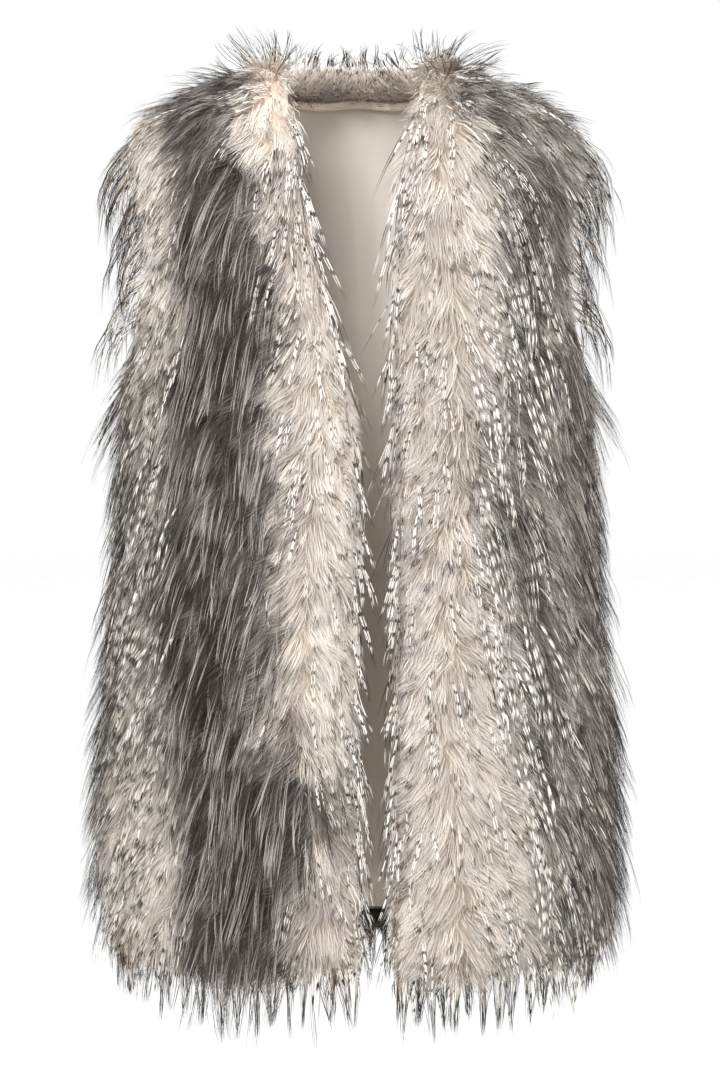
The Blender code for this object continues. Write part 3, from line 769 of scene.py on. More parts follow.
def undercoat(ground, finish, fur, chance):
    """The soft, dense coat of a panel."""
    panel = ground.panel
    count = int(ground.area * SQUARE_CM * fur.coat_density * PANELS[panel].coat)
    roots = rooted(ground, count, chance)
    ruffle = chance.normal(0, 0.30 + 0.28 * smooth(0.75, 0.35, roots.tone))
    roots = roots._replace(ways=turned(roots.ways, roots.normals, ruffle))
    lengths = fur.coat_length * chance.uniform(0.66, 1.22, count)
    lengths *= edge_share(panel, roots.points) * (1 - 0.42 * looking_up(roots.normals))
    lengths *= 1 - 0.32 * smooth(0.14, 0.185, np.abs(roots.points[:, 0]))
    lengths *= 1 - 0.55 * nape(roots.points)
    spring = np.full(count, COAT_SPRING)
    tufts = Tufts(fur.coat_clump, fur.coat_lift, COAT_STEPS, sag=0.15, pull=0.66, swirl=1.0)
    curves, own, many = clumped(ground, roots, lengths, spring, tufts, chance)
    curves = hemmed(curves, COAT_FRINGE, chance)
    lean = unit(np.cross(roots.ways, roots.normals))
    twist = chance.uniform(-1.1, 1.1, count)[:, None]
    across = np.cos(twist) * lean + np.sin(twist) * roots.normals
    uneven = 0.05 + 0.11 * smooth(0.95, 0.5, roots.tone)
    mixed = roots.tone + uneven * (chance.normal(size=many)[own] + 0.8 * chance.normal(size=count))
    column = column_of(np.clip(mixed, 0, 1), TONE_COLUMNS)
    width = fur.coat_width * chance.uniform(0.7, 1.25, count)
    strands = spindle(curves, across, width, column, TONE_COLUMNS)
    soft = unit(roots.normals + chance.normal(0, 0.28, (count, 3)))
    return hair_pieces(f"undercoat_{panel}", strands, finish, normals=soft)


def guard_rates(panel, roots, fur):
    """Hairs of each kind on a square centimetre, in the order of the table of kinds."""
    height, pale = roots.points[:, 2], smooth(0.3, 0.7, roots.tone)
    strip = speckle(panel, roots.points)
    fringe = smooth(0.045, 0.01, edge_distance(panel, roots.points))
    span = BAR_SPANS[panel]
    within = smooth(span.top, span.top - 0.08, height) * smooth(span.bottom, span.bottom + 0.06, height)
    top = smooth(-0.03, 0.02, height)
    side = smooth(0.145, 0.19, np.abs(roots.points[:, 0])) * (0.85 - 0.55 * smooth(0.5, 0.9, roots.tone))
    rates = {
        "dark": fur.dark_density * np.clip(1.1 - 1.4 * roots.tone, 0, 1),
        "ticked": fur.ticked_density * pale * (0.32 + 0.34 * strip * (1 - 0.6 * within)),
        "dotted": fur.barred_density * np.maximum(0.14 * pale + 0.26 * fringe, 0.45 * span.share * strip),
        "feathered": fur.barred_density * span.share * strip * within,
        "tipped": fur.tipped_density * np.maximum(top, side),
    }
    return np.stack([rates[kind.name] for kind in GUARD_KINDS], axis=1)


def guard_kinds(rates, chance):
    """The kind of each guard hair, drawn by its rates."""
    steps = np.cumsum(rates, axis=1) / rates.sum(axis=1, keepdims=True)
    return (chance.random((len(rates), 1)) > steps[:, :-1]).sum(axis=1)


def guard_column(kind, points, chance):
    """A column of the guard hair's map, which holds the kinds side by side. Bars in rows go by the height."""
    own = GUARD_COLUMNS // len(GUARD_KINDS)
    height = points[:, 2] + 0.004 * drift(points, 0.05, 17) + chance.normal(0, 0.0012, len(kind))
    start = np.floor(own * (-height / ROW_PITCH % 1)).astype(int)
    column = np.where(of_kind("rows", kind), start, chance.integers(0, own, len(kind)))
    return (kind * own + column + 0.5) / GUARD_COLUMNS


def of_kind(name, kind):
    """A column of the table of kinds, for each hair."""
    return np.array([getattr(row, name) for row in GUARD_KINDS])[kind]


def guard_hair(ground, finish, fur, chance):
    """The long, sparse hair over a panel's undercoat."""
    panel = ground.panel
    most = fur.barred_density + fur.ticked_density + fur.dark_density + fur.tipped_density
    roots = rooted(ground, int(ground.area * SQUARE_CM * most), chance)
    rates = guard_rates(panel, roots, fur)
    keep = chance.random(len(rates)) < rates.sum(axis=1) / most
    keep &= facing_out(roots.points, roots.normals) > OUTER_FACING
    roots, rates = Roots(*(field[keep] for field in roots)), rates[keep]
    count = len(rates)
    kind = guard_kinds(rates, chance)
    hang = of_kind("hang", kind)[:, None] * smooth(0.7, 0.2, roots.normals[:, 2])[:, None]
    ways = unit(roots.ways * (1 - hang) + hang * DOWN)
    roots = roots._replace(ways=along_pelt(ways, roots.normals))
    lengths = fur.guard_length * chance.uniform(0.7, 1.2, count) * of_kind("length", kind)
    lengths = np.where(of_kind("rows", kind), ROW_LENGTH, lengths * edge_share(panel, roots.points))
    top, side = smooth(0.2, 0.8, roots.normals[:, 2]), smooth(0.5, 0.9, np.abs(roots.normals[:, 0]))
    slope = top * shoulder_slope(roots.points)
    spring = COAT_SPRING + of_kind("spring", kind) * np.maximum(top - 0.75 * slope, 0.42 * side)
    lengths *= (1 - 0.45 * slope) * (1 - 0.6 * nape(roots.points))
    tufts = Tufts(fur.guard_clump, fur.guard_lift, GUARD_STEPS, sag=0.55, pull=0.5, swirl=0.5)
    curves, _, _ = clumped(ground, roots, lengths, spring, tufts, chance)
    curves = hemmed(curves, LONG_FRINGE, chance)
    width = fur.guard_width * of_kind("width", kind) * chance.uniform(0.8, 1.2, count)
    column = guard_column(kind, roots.points, chance)
    strands, soft = fibres(curves, roots.normals, width, column, FIBRE_SPREAD, chance)
    return hair_pieces(f"guard_hair_{panel}", strands, finish, normals=soft)


def lock_spines(node):
    """Root, middle and tip of each lock on a strip. A tip is the point where four long edges meet."""
    surface = node_surface(node)
    beside = [set() for _ in surface.points]
    for a, b, c in surface.faces:
        beside[a] |= {b, c}
        beside[b] |= {a, c}
        beside[c] |= {a, b}
    spines = []
    for tip, ring in enumerate(beside):
        near = list(ring)
        edges = np.linalg.norm(surface.points[near] - surface.points[tip], axis=1)
        if len(near) != 4 or edges.min() < LOCK_MIN:
            continue
        base = set().union(*(beside[k] for k in near)) - ring - {tip}
        spines.append([surface.points[list(group)].mean(axis=0) for group in (base, ring, [tip])])
    if not spines:
        raise RuntimeError(f"no locks were found on {node}")
    return np.array(spines)


def on_surface(surface, points, depth):
    """The nearest points of a surface, moved in by a depth, and its normals there."""
    tree = BVHTree.FromPolygons(surface.points.tolist(), surface.faces.tolist())
    found = [tree.find_nearest(Vector(point)) for point in points]
    places, normals = (np.array([row[k] for row in found]) for k in range(2))
    return places - normals * depth, normals


def edge_hair(ground, finish, fur, chance):
    """The pointed locks along a panel's free edges, each a bundle of long hairs on its solid's line."""
    panel, spec = ground.panel, PANELS[ground.panel]
    bundles, made = [], []
    for node in spec.locks:
        lock = LOCK_KINDS[node.split("_")[0]]
        bundles.append(np.repeat(lock_spines(node), round(fur.lock_hairs * lock.fullness), axis=0))
        made.append(np.repeat([lock], len(bundles[-1]), axis=0))
    spines = np.concatenate(bundles)
    _, tipped, dotted, opening, drop, loose = np.concatenate(made).T
    root, middle, tip = spines[:, 0], spines[:, 1], spines[:, 2]
    count = len(root)
    spread = chance.normal(0, LOCK_SCATTER, (count, 3))
    root, normals = on_surface(ground.surface, root + (root - middle) * 0.5 + spread * 1.5, LOCK_DEPTH)
    middle = middle + spread * 0.40 + chance.normal(0, 0.0010, (count, 3))
    tip = tip + spread * loose[:, None] + chance.normal(0, 0.0007, (count, 3))
    gap = along(FRONT_EDGES, "left_front", tip[:, 2]) - along(FRONT_EDGES, "right_front", tip[:, 2])
    swing = opening * gap * chance.uniform(0.1, 1.0, count) * (1 if panel == "front_right" else -1)
    middle[:, 0] += 0.35 * swing
    tip[:, 0] += swing - 0.5 * drop * np.sign(tip[:, 0]) * (opening == 0)
    tip[:, 2] -= (drop + np.abs(swing) * 0.6) * chance.uniform(0.3, 1.2, count)
    bend = 2 * middle - (root + tip) / 2
    at = (GUARD_STEPS[None, :] * chance.uniform(0.88, 1.0, (count, 1)))[..., None]
    curves = (1 - at) ** 2 * root[:, None] + 2 * at * (1 - at) * bend[:, None] + at**2 * tip[:, None]
    curves = held_in(hemmed(curves, LONG_FRINGE, chance))
    kind = guard_kinds(guard_rates(panel, Roots(root, normals, None, fur_tone(panel, root)), fur), chance)
    draw = chance.random(count)
    kind[draw < tipped] = KIND_NAMES.index("tipped")
    kind[draw > 1 - dotted] = KIND_NAMES.index("dotted")
    width = fur.guard_width * of_kind("width", kind) * chance.uniform(0.9, 1.4, count)
    column = guard_column(kind, root, chance)
    strands, soft = fibres(curves, unit(normals + outward(root)), width, column, LOCK_SPREAD, chance)
    return hair_pieces(f"edge_locks_{panel}", strands, finish, spec.locks, soft)


def socket_link(tree, source, target):
    """Joins two sockets of a node tree."""
    tree.links.new(source, target)


def new_finish(name):
    """A material with only its shader and its output."""
    finish = bpy.data.materials.new(name)
    finish.use_nodes = True
    tree = finish.node_tree
    return finish, tree, tree.nodes["Principled BSDF"]


def feed(tree, socket, value):
    """Gives a socket its value: a number or a colour is set on it, and another socket is linked to it."""
    if isinstance(value, bpy.types.NodeSocket):
        tree.links.new(value, socket)
    else:
        socket.default_value = value


def add_math(tree, operation, first, second=None):
    """A Math node on numbers or sockets."""
    node = tree.nodes.new("ShaderNodeMath")
    node.operation = operation
    feed(tree, node.inputs[0], first)
    if second is not None:
        feed(tree, node.inputs[1], second)
    return node.outputs[0]


def add_ramp(tree, factor, stops, interpolation="LINEAR"):
    """A colour ramp with these (place, colour) stops."""
    node = tree.nodes.new("ShaderNodeValToRGB")
    ramp = node.color_ramp
    ramp.interpolation = interpolation
    while len(ramp.elements) < len(stops):
        ramp.elements.new(1.0)
    for element, (place, shade) in zip(ramp.elements, stops):
        element.position = place
        element.color = shade
    socket_link(tree, factor, node.inputs[0])
    return node.outputs[0]


def add_mix(tree, factor, first, second):
    """A colour mix."""
    node = tree.nodes.new("ShaderNodeMix")
    node.data_type = "RGBA"
    ends = [socket for socket in node.inputs if socket.type == "RGBA"]
    for socket, value in ((node.inputs[0], factor), (ends[0], first), (ends[1], second)):
        feed(tree, socket, value)
    return next(socket for socket in node.outputs if socket.type == "RGBA")


def strand_place(tree):
    """The column and the place along the hair, from the strand map."""
    mapped = tree.nodes.new("ShaderNodeUVMap")
    mapped.uv_map = STRAND_MAP
    parts = tree.nodes.new("ShaderNodeSeparateXYZ")
    socket_link(tree, mapped.outputs[0], parts.inputs[0])
    return parts.outputs[0], parts.outputs[1]


def between(first, second, part):
    """A colour part of the way from one to another, in even steps to the eye."""
    ends = np.array((first[:3], second[:3])) ** (1 / DISPLAY_GAMMA)
    return (*((ends[0] + (ends[1] - ends[0]) * part) ** DISPLAY_GAMMA).tolist(), 1.0)


def even_ramp(tree, factor, first, second):
    """A ramp between two colours, in even steps to the eye."""
    places = [k / RAMP_STEPS for k in range(RAMP_STEPS + 1)]
    return add_ramp(tree, factor, [(place, between(first, second, place)) for place in places])


def coat_finish(fur):
    """Undercoat: darker and warmer at the root, pale at the tip, from the dark bands to the cream strips."""
    finish, tree, shader = new_finish("undercoat_hair")
    column, far = strand_place(tree)
    rise = add_math(tree, "POWER", far, 1.15)
    roots = even_ramp(tree, column, fur.dark_root, fur.cream_root)
    tips = even_ramp(tree, column, fur.dark_tip, fur.cream_tip)
    shade = add_mix(tree, rise, roots, tips)
    socket_link(tree, shade, shader.inputs["Base Color"])
    shader.inputs["Roughness"].default_value = 0.55
    shader.inputs["Specular IOR Level"].default_value = 0.25
    shader.inputs["Sheen Weight"].default_value = 0.15
    shader.inputs["Sheen Roughness"].default_value = 0.4
    return finish


def guard_finish(fur):
    """Guard hair by its column, in the order of the table of kinds."""
    finish, tree, shader = new_finish("guard_hair")
    column, far = strand_place(tree)
    number = add_math(tree, "FLOOR", add_math(tree, "MULTIPLY", column, float(GUARD_COLUMNS)))
    chance = tree.nodes.new("ShaderNodeTexWhiteNoise")
    chance.noise_dimensions = "1D"
    socket_link(tree, number, chance.inputs["W"])
    draw = chance.outputs["Value"]
    pitch = add_math(tree, "ADD", 4.6, add_math(tree, "MULTIPLY", draw, 1.8))
    begun = add_math(tree, "MULTIPLY", draw, 7.0)
    phase = add_math(tree, "FRACT", add_math(tree, "ADD", add_math(tree, "MULTIPLY", far, pitch), begun))
    start = add_math(tree, "DIVIDE", number, GUARD_COLUMNS / len(GUARD_KINDS))
    passed = add_math(tree, "MULTIPLY", far, ROWS_ON_HAIR)
    in_rows = add_math(tree, "FRACT", add_math(tree, "ADD", passed, start))
    dots = add_ramp(tree, phase, [(0.0, BLACK), (0.20, BLACK), (0.29, WHITE), (0.91, WHITE), (1.0, BLACK)])
    bars = add_ramp(tree, in_rows, [(0.0, BLACK), (0.20, BLACK), (0.45, WHITE), (0.72, WHITE), (1.0, BLACK)])
    ended = add_ramp(tree, far, [(0.0, WHITE), (0.80, WHITE), (0.88, BLACK), (1.0, BLACK)])
    ticks = add_ramp(tree, far, [(0.0, WHITE), (0.64, WHITE), (0.69, BLACK), (0.82, BLACK), (0.90, WHITE)])
    halved = add_ramp(tree, far, [(0.0, WHITE), (0.28, WHITE), (0.62, BLACK), (1.0, BLACK)])
    pale = add_mix(tree, far, fur.cream_root, fur.guard_white)
    grey = between(fur.dark_root, fur.dark_tip, 0.5)
    taupe = between(fur.dark_tip, fur.cream_tip, 0.25)
    pale_wisp = between(fur.dark_tip, fur.cream_tip, 0.76)
    wisp = add_ramp(tree, draw, [(0.0, fur.dark_root), (0.54, grey), (0.66, pale_wisp), (1.0, pale_wisp)])
    base = add_ramp(tree, draw, [(0.0, taupe), (0.45, taupe), (0.6, fur.cream_root), (1.0, fur.cream_root)])
    kinds = (
        add_mix(tree, ended, fur.bar, add_mix(tree, far, grey, wisp)),
        add_mix(tree, ticks, fur.bar, pale),
        add_mix(tree, add_math(tree, "MULTIPLY", dots, ended), fur.bar, fur.guard_white),
        add_mix(tree, bars, taupe, between(fur.guard_white, fur.cream_root, 0.25)),
        add_mix(tree, halved, between(fur.bar, fur.dark_tip, 0.35), base),
    )
    shade = kinds[0]
    for k, other in enumerate(kinds[1:], 1):
        shade = add_mix(tree, add_math(tree, "GREATER_THAN", column, k / len(kinds)), shade, other)
    socket_link(tree, shade, shader.inputs["Base Color"])
    shader.inputs["Roughness"].default_value = 0.5
    shader.inputs["Specular IOR Level"].default_value = 0.25
    return finish


def pelt_finish(fur):
    """The ground under the hair, in the fur's own tone with painted shade at its dark end, and a fine felted
    grain.
    """
    finish, tree, shader = new_finish("pelt")
    tone = tree.nodes.new("ShaderNodeAttribute")
    tone.attribute_name = "tone"
    place = tree.nodes.new("ShaderNodeTexCoord").outputs["Object"]
    grain = tree.nodes.new("ShaderNodeTexNoise")
    grain.inputs["Scale"].default_value = 900
    grain.inputs["Detail"].default_value = 3
    socket_link(tree, place, grain.inputs["Vector"])
    stir = add_math(tree, "MULTIPLY", add_math(tree, "SUBTRACT", grain.outputs[0], 0.5), 0.3)
    stirred = add_math(tree, "ADD", tone.outputs["Fac"], stir)
    # Painted shade: the dark end is the dark roots' colour taken 30% towards black, for the shaded gaps
    # between the hairs
    ground = even_ramp(tree, stirred, between(fur.dark_root, BLACK, 0.3), fur.cream_root)
    socket_link(tree, ground, shader.inputs["Base Color"])
    shader.inputs["Roughness"].default_value = 0.9
    return finish


def add_bump(tree, shader, height, strength, distance):
    """Bump from a height."""
    node = tree.nodes.new("ShaderNodeBump")
    node.inputs["Strength"].default_value = strength
    node.inputs["Distance"].default_value = distance
    socket_link(tree, height, node.inputs["Height"])
    socket_link(tree, node.outputs[0], shader.inputs["Normal"])


def woven(name, shade, thread, rough, sheen):
    """Fine cloth: a weave of crossing threads, with painted shade in the grooves between them and a little
    drift in its colour.
    """
    finish, tree, shader = new_finish(name)
    place = tree.nodes.new("ShaderNodeTexCoord").outputs["Object"]
    heights = []
    for axis in ("X", "Z"):
        wave = tree.nodes.new("ShaderNodeTexWave")
        wave.wave_type = "BANDS"
        wave.bands_direction = axis
        wave.inputs["Scale"].default_value = 0.314 / thread
        wave.inputs["Distortion"].default_value = 0.6
        wave.inputs["Detail"].default_value = 1
        socket_link(tree, place, wave.inputs["Vector"])
        heights.append(wave.outputs["Fac"])
    weave = add_math(tree, "MAXIMUM", *heights)
    cloud = tree.nodes.new("ShaderNodeTexNoise")
    cloud.inputs["Scale"].default_value = 14
    cloud.inputs["Detail"].default_value = 4
    socket_link(tree, place, cloud.inputs["Vector"])
    drifted = add_ramp(tree, cloud.outputs[0], [(0.3, between(shade, BLACK, 0.07)), (0.7, shade)])
    # Painted shade: the colour is darker in the low parts of the weave, between the threads, where shade
    # falls
    groove_shaded = add_mix(tree, add_math(tree, "MULTIPLY", weave, 0.35), between(shade, BLACK, 0.06), drifted)
    blended = add_mix(tree, 0.6, drifted, groove_shaded)
    socket_link(tree, blended, shader.inputs["Base Color"])
    shader.inputs["Roughness"].default_value = rough
    shader.inputs["Sheen Weight"].default_value = sheen
    shader.inputs["Sheen Roughness"].default_value = 0.35
    add_bump(tree, shader, weave, strength=0.12, distance=thread * 0.3)
    return finish


def plain_hair(name, root, tip):
    """Short hair that is lighter in patches, by its place on the facing."""
    finish, tree, shader = new_finish(name)
    place = tree.nodes.new("ShaderNodeTexCoord").outputs["Object"]
    grain = tree.nodes.new("ShaderNodeTexNoise")
    grain.inputs["Scale"].default_value = 260
    socket_link(tree, place, grain.inputs["Vector"])
    patches = add_ramp(tree, grain.outputs[0], [(0.35, root), (0.7, tip)])
    socket_link(tree, patches, shader.inputs["Base Color"])
    shader.inputs["Roughness"].default_value = 0.5
    return finish


def shared_finish(name, make):
    """A material that several pieces use, made the first time."""
    return bpy.data.materials.get(name) or make()


def subdivided(surface, name, levels):
    """A smooth, finer copy of a surface, as a mesh."""
    mesh = bpy.data.meshes.new(name)
    mesh.from_pydata(surface.points.tolist(), [], surface.faces.tolist())
    bm = bmesh.new()
    bm.from_mesh(mesh)
    bmesh.ops.join_triangles(bm, faces=bm.faces[:], angle_face_threshold=0.6, angle_shape_threshold=0.9)
    bm.to_mesh(mesh)
    bm.free()
    holder = bpy.data.objects.new(name, mesh)
    bpy.context.scene.collection.objects.link(holder)
    finer = holder.modifiers.new("finer", "SUBSURF")
    finer.levels = levels
    finer.render_levels = levels
    graph = bpy.context.evaluated_depsgraph_get()
    made = bpy.data.meshes.new_from_object(holder.evaluated_get(graph))
    bpy.data.objects.remove(holder)
    bpy.data.meshes.remove(mesh)
    made.name = name
    made.shade_smooth()
    return made


def moved(mesh, rule):
    """Moves a mesh's vertices by a rule on their places."""
    points = np.empty(len(mesh.vertices) * 3, np.float32)
    mesh.vertices.foreach_get("co", points)
    points = points.reshape(-1, 3).astype(np.float64)
    mesh.vertices.foreach_set("co", (points + rule(points)).astype(np.float32).ravel())
    mesh.update()


def pelt_piece(panel, pelt, fur, cloth):
    """The panel's pelt: felted ground outside and lining satin inside."""
    spec = PANELS[panel]
    name = f"pelt_{panel}"
    mesh = mesh_of(name, pelt.points, pelt.faces, shared_finish("pelt", lambda: pelt_finish(fur)))
    mesh.materials.append(shared_finish("satin_weave", lambda: satin_finish(cloth)))
    middle = pelt.points[pelt.faces].mean(axis=1)
    inner = facing_out(middle, unit(pelt.normals[pelt.faces].mean(axis=1))) < INNER_FACING
    mesh.polygons.foreach_set("material_index", inner.astype(np.int32))
    tone = mesh.attributes.new("tone", "FLOAT", "POINT")
    tone.data.foreach_set("value", fur_tone(panel, pelt.points).astype(np.float32))
    return add_piece(name, mesh, (spec.wall,))


def satin_finish(cloth):
    """Lining satin: fine threads and a soft gloss."""
    return woven("satin_weave", cloth.satin, thread=0.0006, rough=0.42, sheen=0.25)


def new_tree(name):
    """An empty Geometry Nodes tree with its geometry sockets."""
    tree = bpy.data.node_groups.new(name, "GeometryNodeTree")
    tree.interface.new_socket(name="Geometry", in_out="INPUT", socket_type="NodeSocketGeometry")
    tree.interface.new_socket(name="Geometry", in_out="OUTPUT", socket_type="NodeSocketGeometry")
    return tree, tree.nodes.new("NodeGroupInput"), tree.nodes.new("NodeGroupOutput")


def add_inputs(tree, inputs):
    """Named inputs for a tree, with the identifier of each."""
    found = {}
    for name, kind in inputs:
        found[name] = tree.interface.new_socket(name=name, in_out="INPUT", socket_type=kind).identifier
    return found


def wire(tree, *links):
    """Joins sockets, each row given as a node, its output, another node and its input."""
    for source, output, target, into in links:
        socket_link(tree, source.outputs[output], target.inputs[into])


def finish_tree(tree, put, given, end):
    """Ends a tree: instances made real, then given their material."""
    real = tree.nodes.new("GeometryNodeRealizeInstances")
    dressed = tree.nodes.new("GeometryNodeSetMaterial")
    wire(
        tree,
        (put, "Instances", real, "Geometry"),
        (real, "Geometry", dressed, "Geometry"),
        (given, "Material", dressed, "Material"),
        (dressed, "Geometry", end, "Geometry"),
    )


def stitch_tree():
    """Stitches along a line: small rounded threads at an even pitch, each turned along the line."""
    tree, given, end = new_tree("stitches")
    sockets = add_inputs(
        tree,
        (
            ("Pitch", "NodeSocketFloat"),
            ("Length", "NodeSocketFloat"),
            ("Radius", "NodeSocketFloat"),
            ("Material", "NodeSocketMaterial"),
        ),
    )
    line = tree.nodes.new("GeometryNodeMeshToCurve")
    places = tree.nodes.new("GeometryNodeCurveToPoints")
    places.mode = "LENGTH"
    bead = tree.nodes.new("GeometryNodeMeshUVSphere")
    bead.inputs["Segments"].default_value = 6
    bead.inputs["Rings"].default_value = 5
    bead.inputs["Radius"].default_value = 1.0
    size = tree.nodes.new("ShaderNodeCombineXYZ")
    half = tree.nodes.new("ShaderNodeMath")
    half.operation = "MULTIPLY"
    half.inputs[1].default_value = 0.5
    turn = tree.nodes.new("FunctionNodeAlignRotationToVector")
    turn.axis = "Z"
    put = tree.nodes.new("GeometryNodeInstanceOnPoints")
    wire(
        tree,
        (given, "Geometry", line, "Mesh"),
        (line, "Curve", places, "Curve"),
        (given, "Pitch", places, "Length"),
        (places, "Points", put, "Points"),
        (places, "Tangent", turn, "Vector"),
        (turn, "Rotation", put, "Rotation"),
        (bead, "Mesh", put, "Instance"),
        (given, "Length", half, 0),
        (given, "Radius", size, "X"),
        (given, "Radius", size, "Y"),
        (half, 0, size, "Z"),
        (size, "Vector", put, "Scale"),
    )
    finish_tree(tree, put, given, end)
    return tree, sockets


def pile_tree():
    """Short hair over a facing: three-sided pointed strands that lean down."""
    tree, given, end = new_tree("short_pile")
    sockets = add_inputs(
        tree,
        (
            ("Density", "NodeSocketFloat"),
            ("Length", "NodeSocketFloat"),
            ("Radius", "NodeSocketFloat"),
            ("Seed", "NodeSocketInt"),
            ("Material", "NodeSocketMaterial"),
        ),
    )
    sown = tree.nodes.new("GeometryNodeDistributePointsOnFaces")
    hair = tree.nodes.new("GeometryNodeMeshCone")
    hair.inputs["Vertices"].default_value = 3
    hair.inputs["Side Segments"].default_value = 2
    hair.inputs["Radius Top"].default_value = 0.0
    lean = tree.nodes.new("ShaderNodeVectorMath")
    lean.operation = "ADD"
    jitter = tree.nodes.new("FunctionNodeRandomValue")
    jitter.data_type = "FLOAT_VECTOR"
    jitter.inputs["Min"].default_value = (-0.5, -0.3, -1.7)
    jitter.inputs["Max"].default_value = (0.5, 0.3, -0.5)
    grown = tree.nodes.new("FunctionNodeRandomValue")
    grown.data_type = "FLOAT"
    ends = {socket.name: socket for socket in grown.inputs if socket.type == "VALUE"}
    ends["Min"].default_value = 0.6
    ends["Max"].default_value = 1.2
    turn = tree.nodes.new("FunctionNodeAlignRotationToVector")
    turn.axis = "Z"
    put = tree.nodes.new("GeometryNodeInstanceOnPoints")
    size = next(socket for socket in grown.outputs if socket.type == "VALUE")
    way = next(socket for socket in jitter.outputs if socket.type == "VECTOR")
    wire(
        tree,
        (given, "Geometry", sown, "Mesh"),
        (given, "Density", sown, "Density"),
        (given, "Seed", sown, "Seed"),
        (given, "Seed", jitter, "Seed"),
        (given, "Seed", grown, "Seed"),
        (given, "Length", hair, "Depth"),
        (given, "Radius", hair, "Radius Bottom"),
        (sown, "Normal", lean, 0),
        (lean, "Vector", turn, "Vector"),
        (sown, "Points", put, "Points"),
        (turn, "Rotation", put, "Rotation"),
        (hair, "Mesh", put, "Instance"),
    )
    socket_link(tree, way, lean.inputs[1])
    socket_link(tree, size, put.inputs["Scale"])
    finish_tree(tree, put, given, end)
    return tree, sockets


def grown_mesh(name, base, tree, sockets, values):
    """What a tree makes on a base mesh, as a plain mesh of its own."""
    holder = bpy.data.objects.new(name, base)
    bpy.context.scene.collection.objects.link(holder)
    modifier = holder.modifiers.new(name, "NODES")
    modifier.node_group = tree
    for label, value in values.items():
        modifier[sockets[label]] = value
    graph = bpy.context.evaluated_depsgraph_get()
    made = bpy.data.meshes.new_from_object(holder.evaluated_get(graph))
    bpy.data.objects.remove(holder)
    made.name = name
    if not made.polygons:
        raise RuntimeError(f"{name} came out empty")
    made.shade_smooth()
    return made


def aim(place, target):
    """The turn of a lamp or a camera that looks from a place at a target."""
    return (Vector(target) - Vector(place)).to_track_quat("-Z", "Y").to_euler()


class VEST_OT_stage(bpy.types.Operator):
    """Floor, soft studio light and the camera"""

    bl_idname = "vest.stage"
    bl_label = "Stage"

    def execute(self, context):
        stage = context.scene.vest_stage
        mesh = bpy.data.meshes.new("floor")
        signs = ((-1, -1), (1, -1), (1, 1), (-1, 1))
        corners = [(x * FLOOR_HALF, y * FLOOR_HALF, stage.floor_height) for x, y in signs]
        mesh.from_pydata(corners, [], [(0, 1, 2, 3)])
        finish, _, shader = new_finish("floor")
        shader.inputs["Base Color"].default_value = stage.floor
        shader.inputs["Roughness"].default_value = 0.9
        mesh.materials.append(finish)
        floor = bpy.data.objects.new("floor", mesh)
        context.scene.collection.objects.link(floor)
        floor.visible_diffuse = False
        self.light(context)
        camera = bpy.data.cameras.new("camera")
        camera.lens = stage.lens
        camera.sensor_width = SENSOR_WIDTH
        eye = bpy.data.objects.new("camera", camera)
        eye.location = stage.eye
        eye.rotation_euler = aim(stage.eye, stage.target)
        context.scene.collection.objects.link(eye)
        context.scene.camera = eye
        context.scene.view_settings.view_transform = "Standard"
        return {"FINISHED"}

    def light(self, context):
        """A white room and three soft lamps."""
        world = bpy.data.worlds.new("studio")
        world.use_nodes = True
        tree = world.node_tree
        place = tree.nodes.new("ShaderNodeTexCoord").outputs["Generated"]
        parts = tree.nodes.new("ShaderNodeSeparateXYZ")
        socket_link(tree, place, parts.inputs[0])
        height = add_math(tree, "ADD", add_math(tree, "MULTIPLY", parts.outputs["Z"], 0.5), 0.5)
        sky = add_ramp(tree, height, [(0.30, LOW_SKY), (0.49, WHITE), (1.0, WHITE)])
        socket_link(tree, sky, tree.nodes["Background"].inputs["Color"])
        context.scene.world = world
        for lamp in LAMPS:
            light = bpy.data.lights.new(lamp.name, "AREA")
            light.size = lamp.size
            light.energy = lamp.power
            holder = bpy.data.objects.new(lamp.name, light)
            holder.location = lamp.place
            holder.rotation_euler = aim(lamp.place, LAMP_TARGET)
            context.scene.collection.objects.link(holder)


class VEST_OT_fur_panel(bpy.types.Operator):
    """One panel of the vest: its pelt, undercoat, guard hair and edge locks"""

    bl_idname = "vest.fur_panel"
    bl_label = "Fur panel"

    panel: EnumProperty(name="Panel", description="The panel to dress", items=PANEL_ITEMS)

    def execute(self, context):
        fur, cloth = context.scene.vest_fur, context.scene.vest_cloth
        spec = PANELS[self.panel]
        chance = np.random.default_rng([fur.seed, list(PANELS).index(self.panel)])
        coat = shared_finish("undercoat_hair", lambda: coat_finish(fur))
        guard = shared_finish("guard_hair", lambda: guard_finish(fur))
        pelt = pelt_surface(node_surface(spec.wall), fur.sink)
        ground = Ground(self.panel, pelt, *outer_faces(pelt))
        piece = pelt_piece(self.panel, pelt, fur, cloth)
        hair = undercoat(ground, coat, fur, chance)
        hair += guard_hair(ground, guard, fur, chance)
        hair += edge_hair(ground, guard, fur, chance)
        return {"FINISHED"}


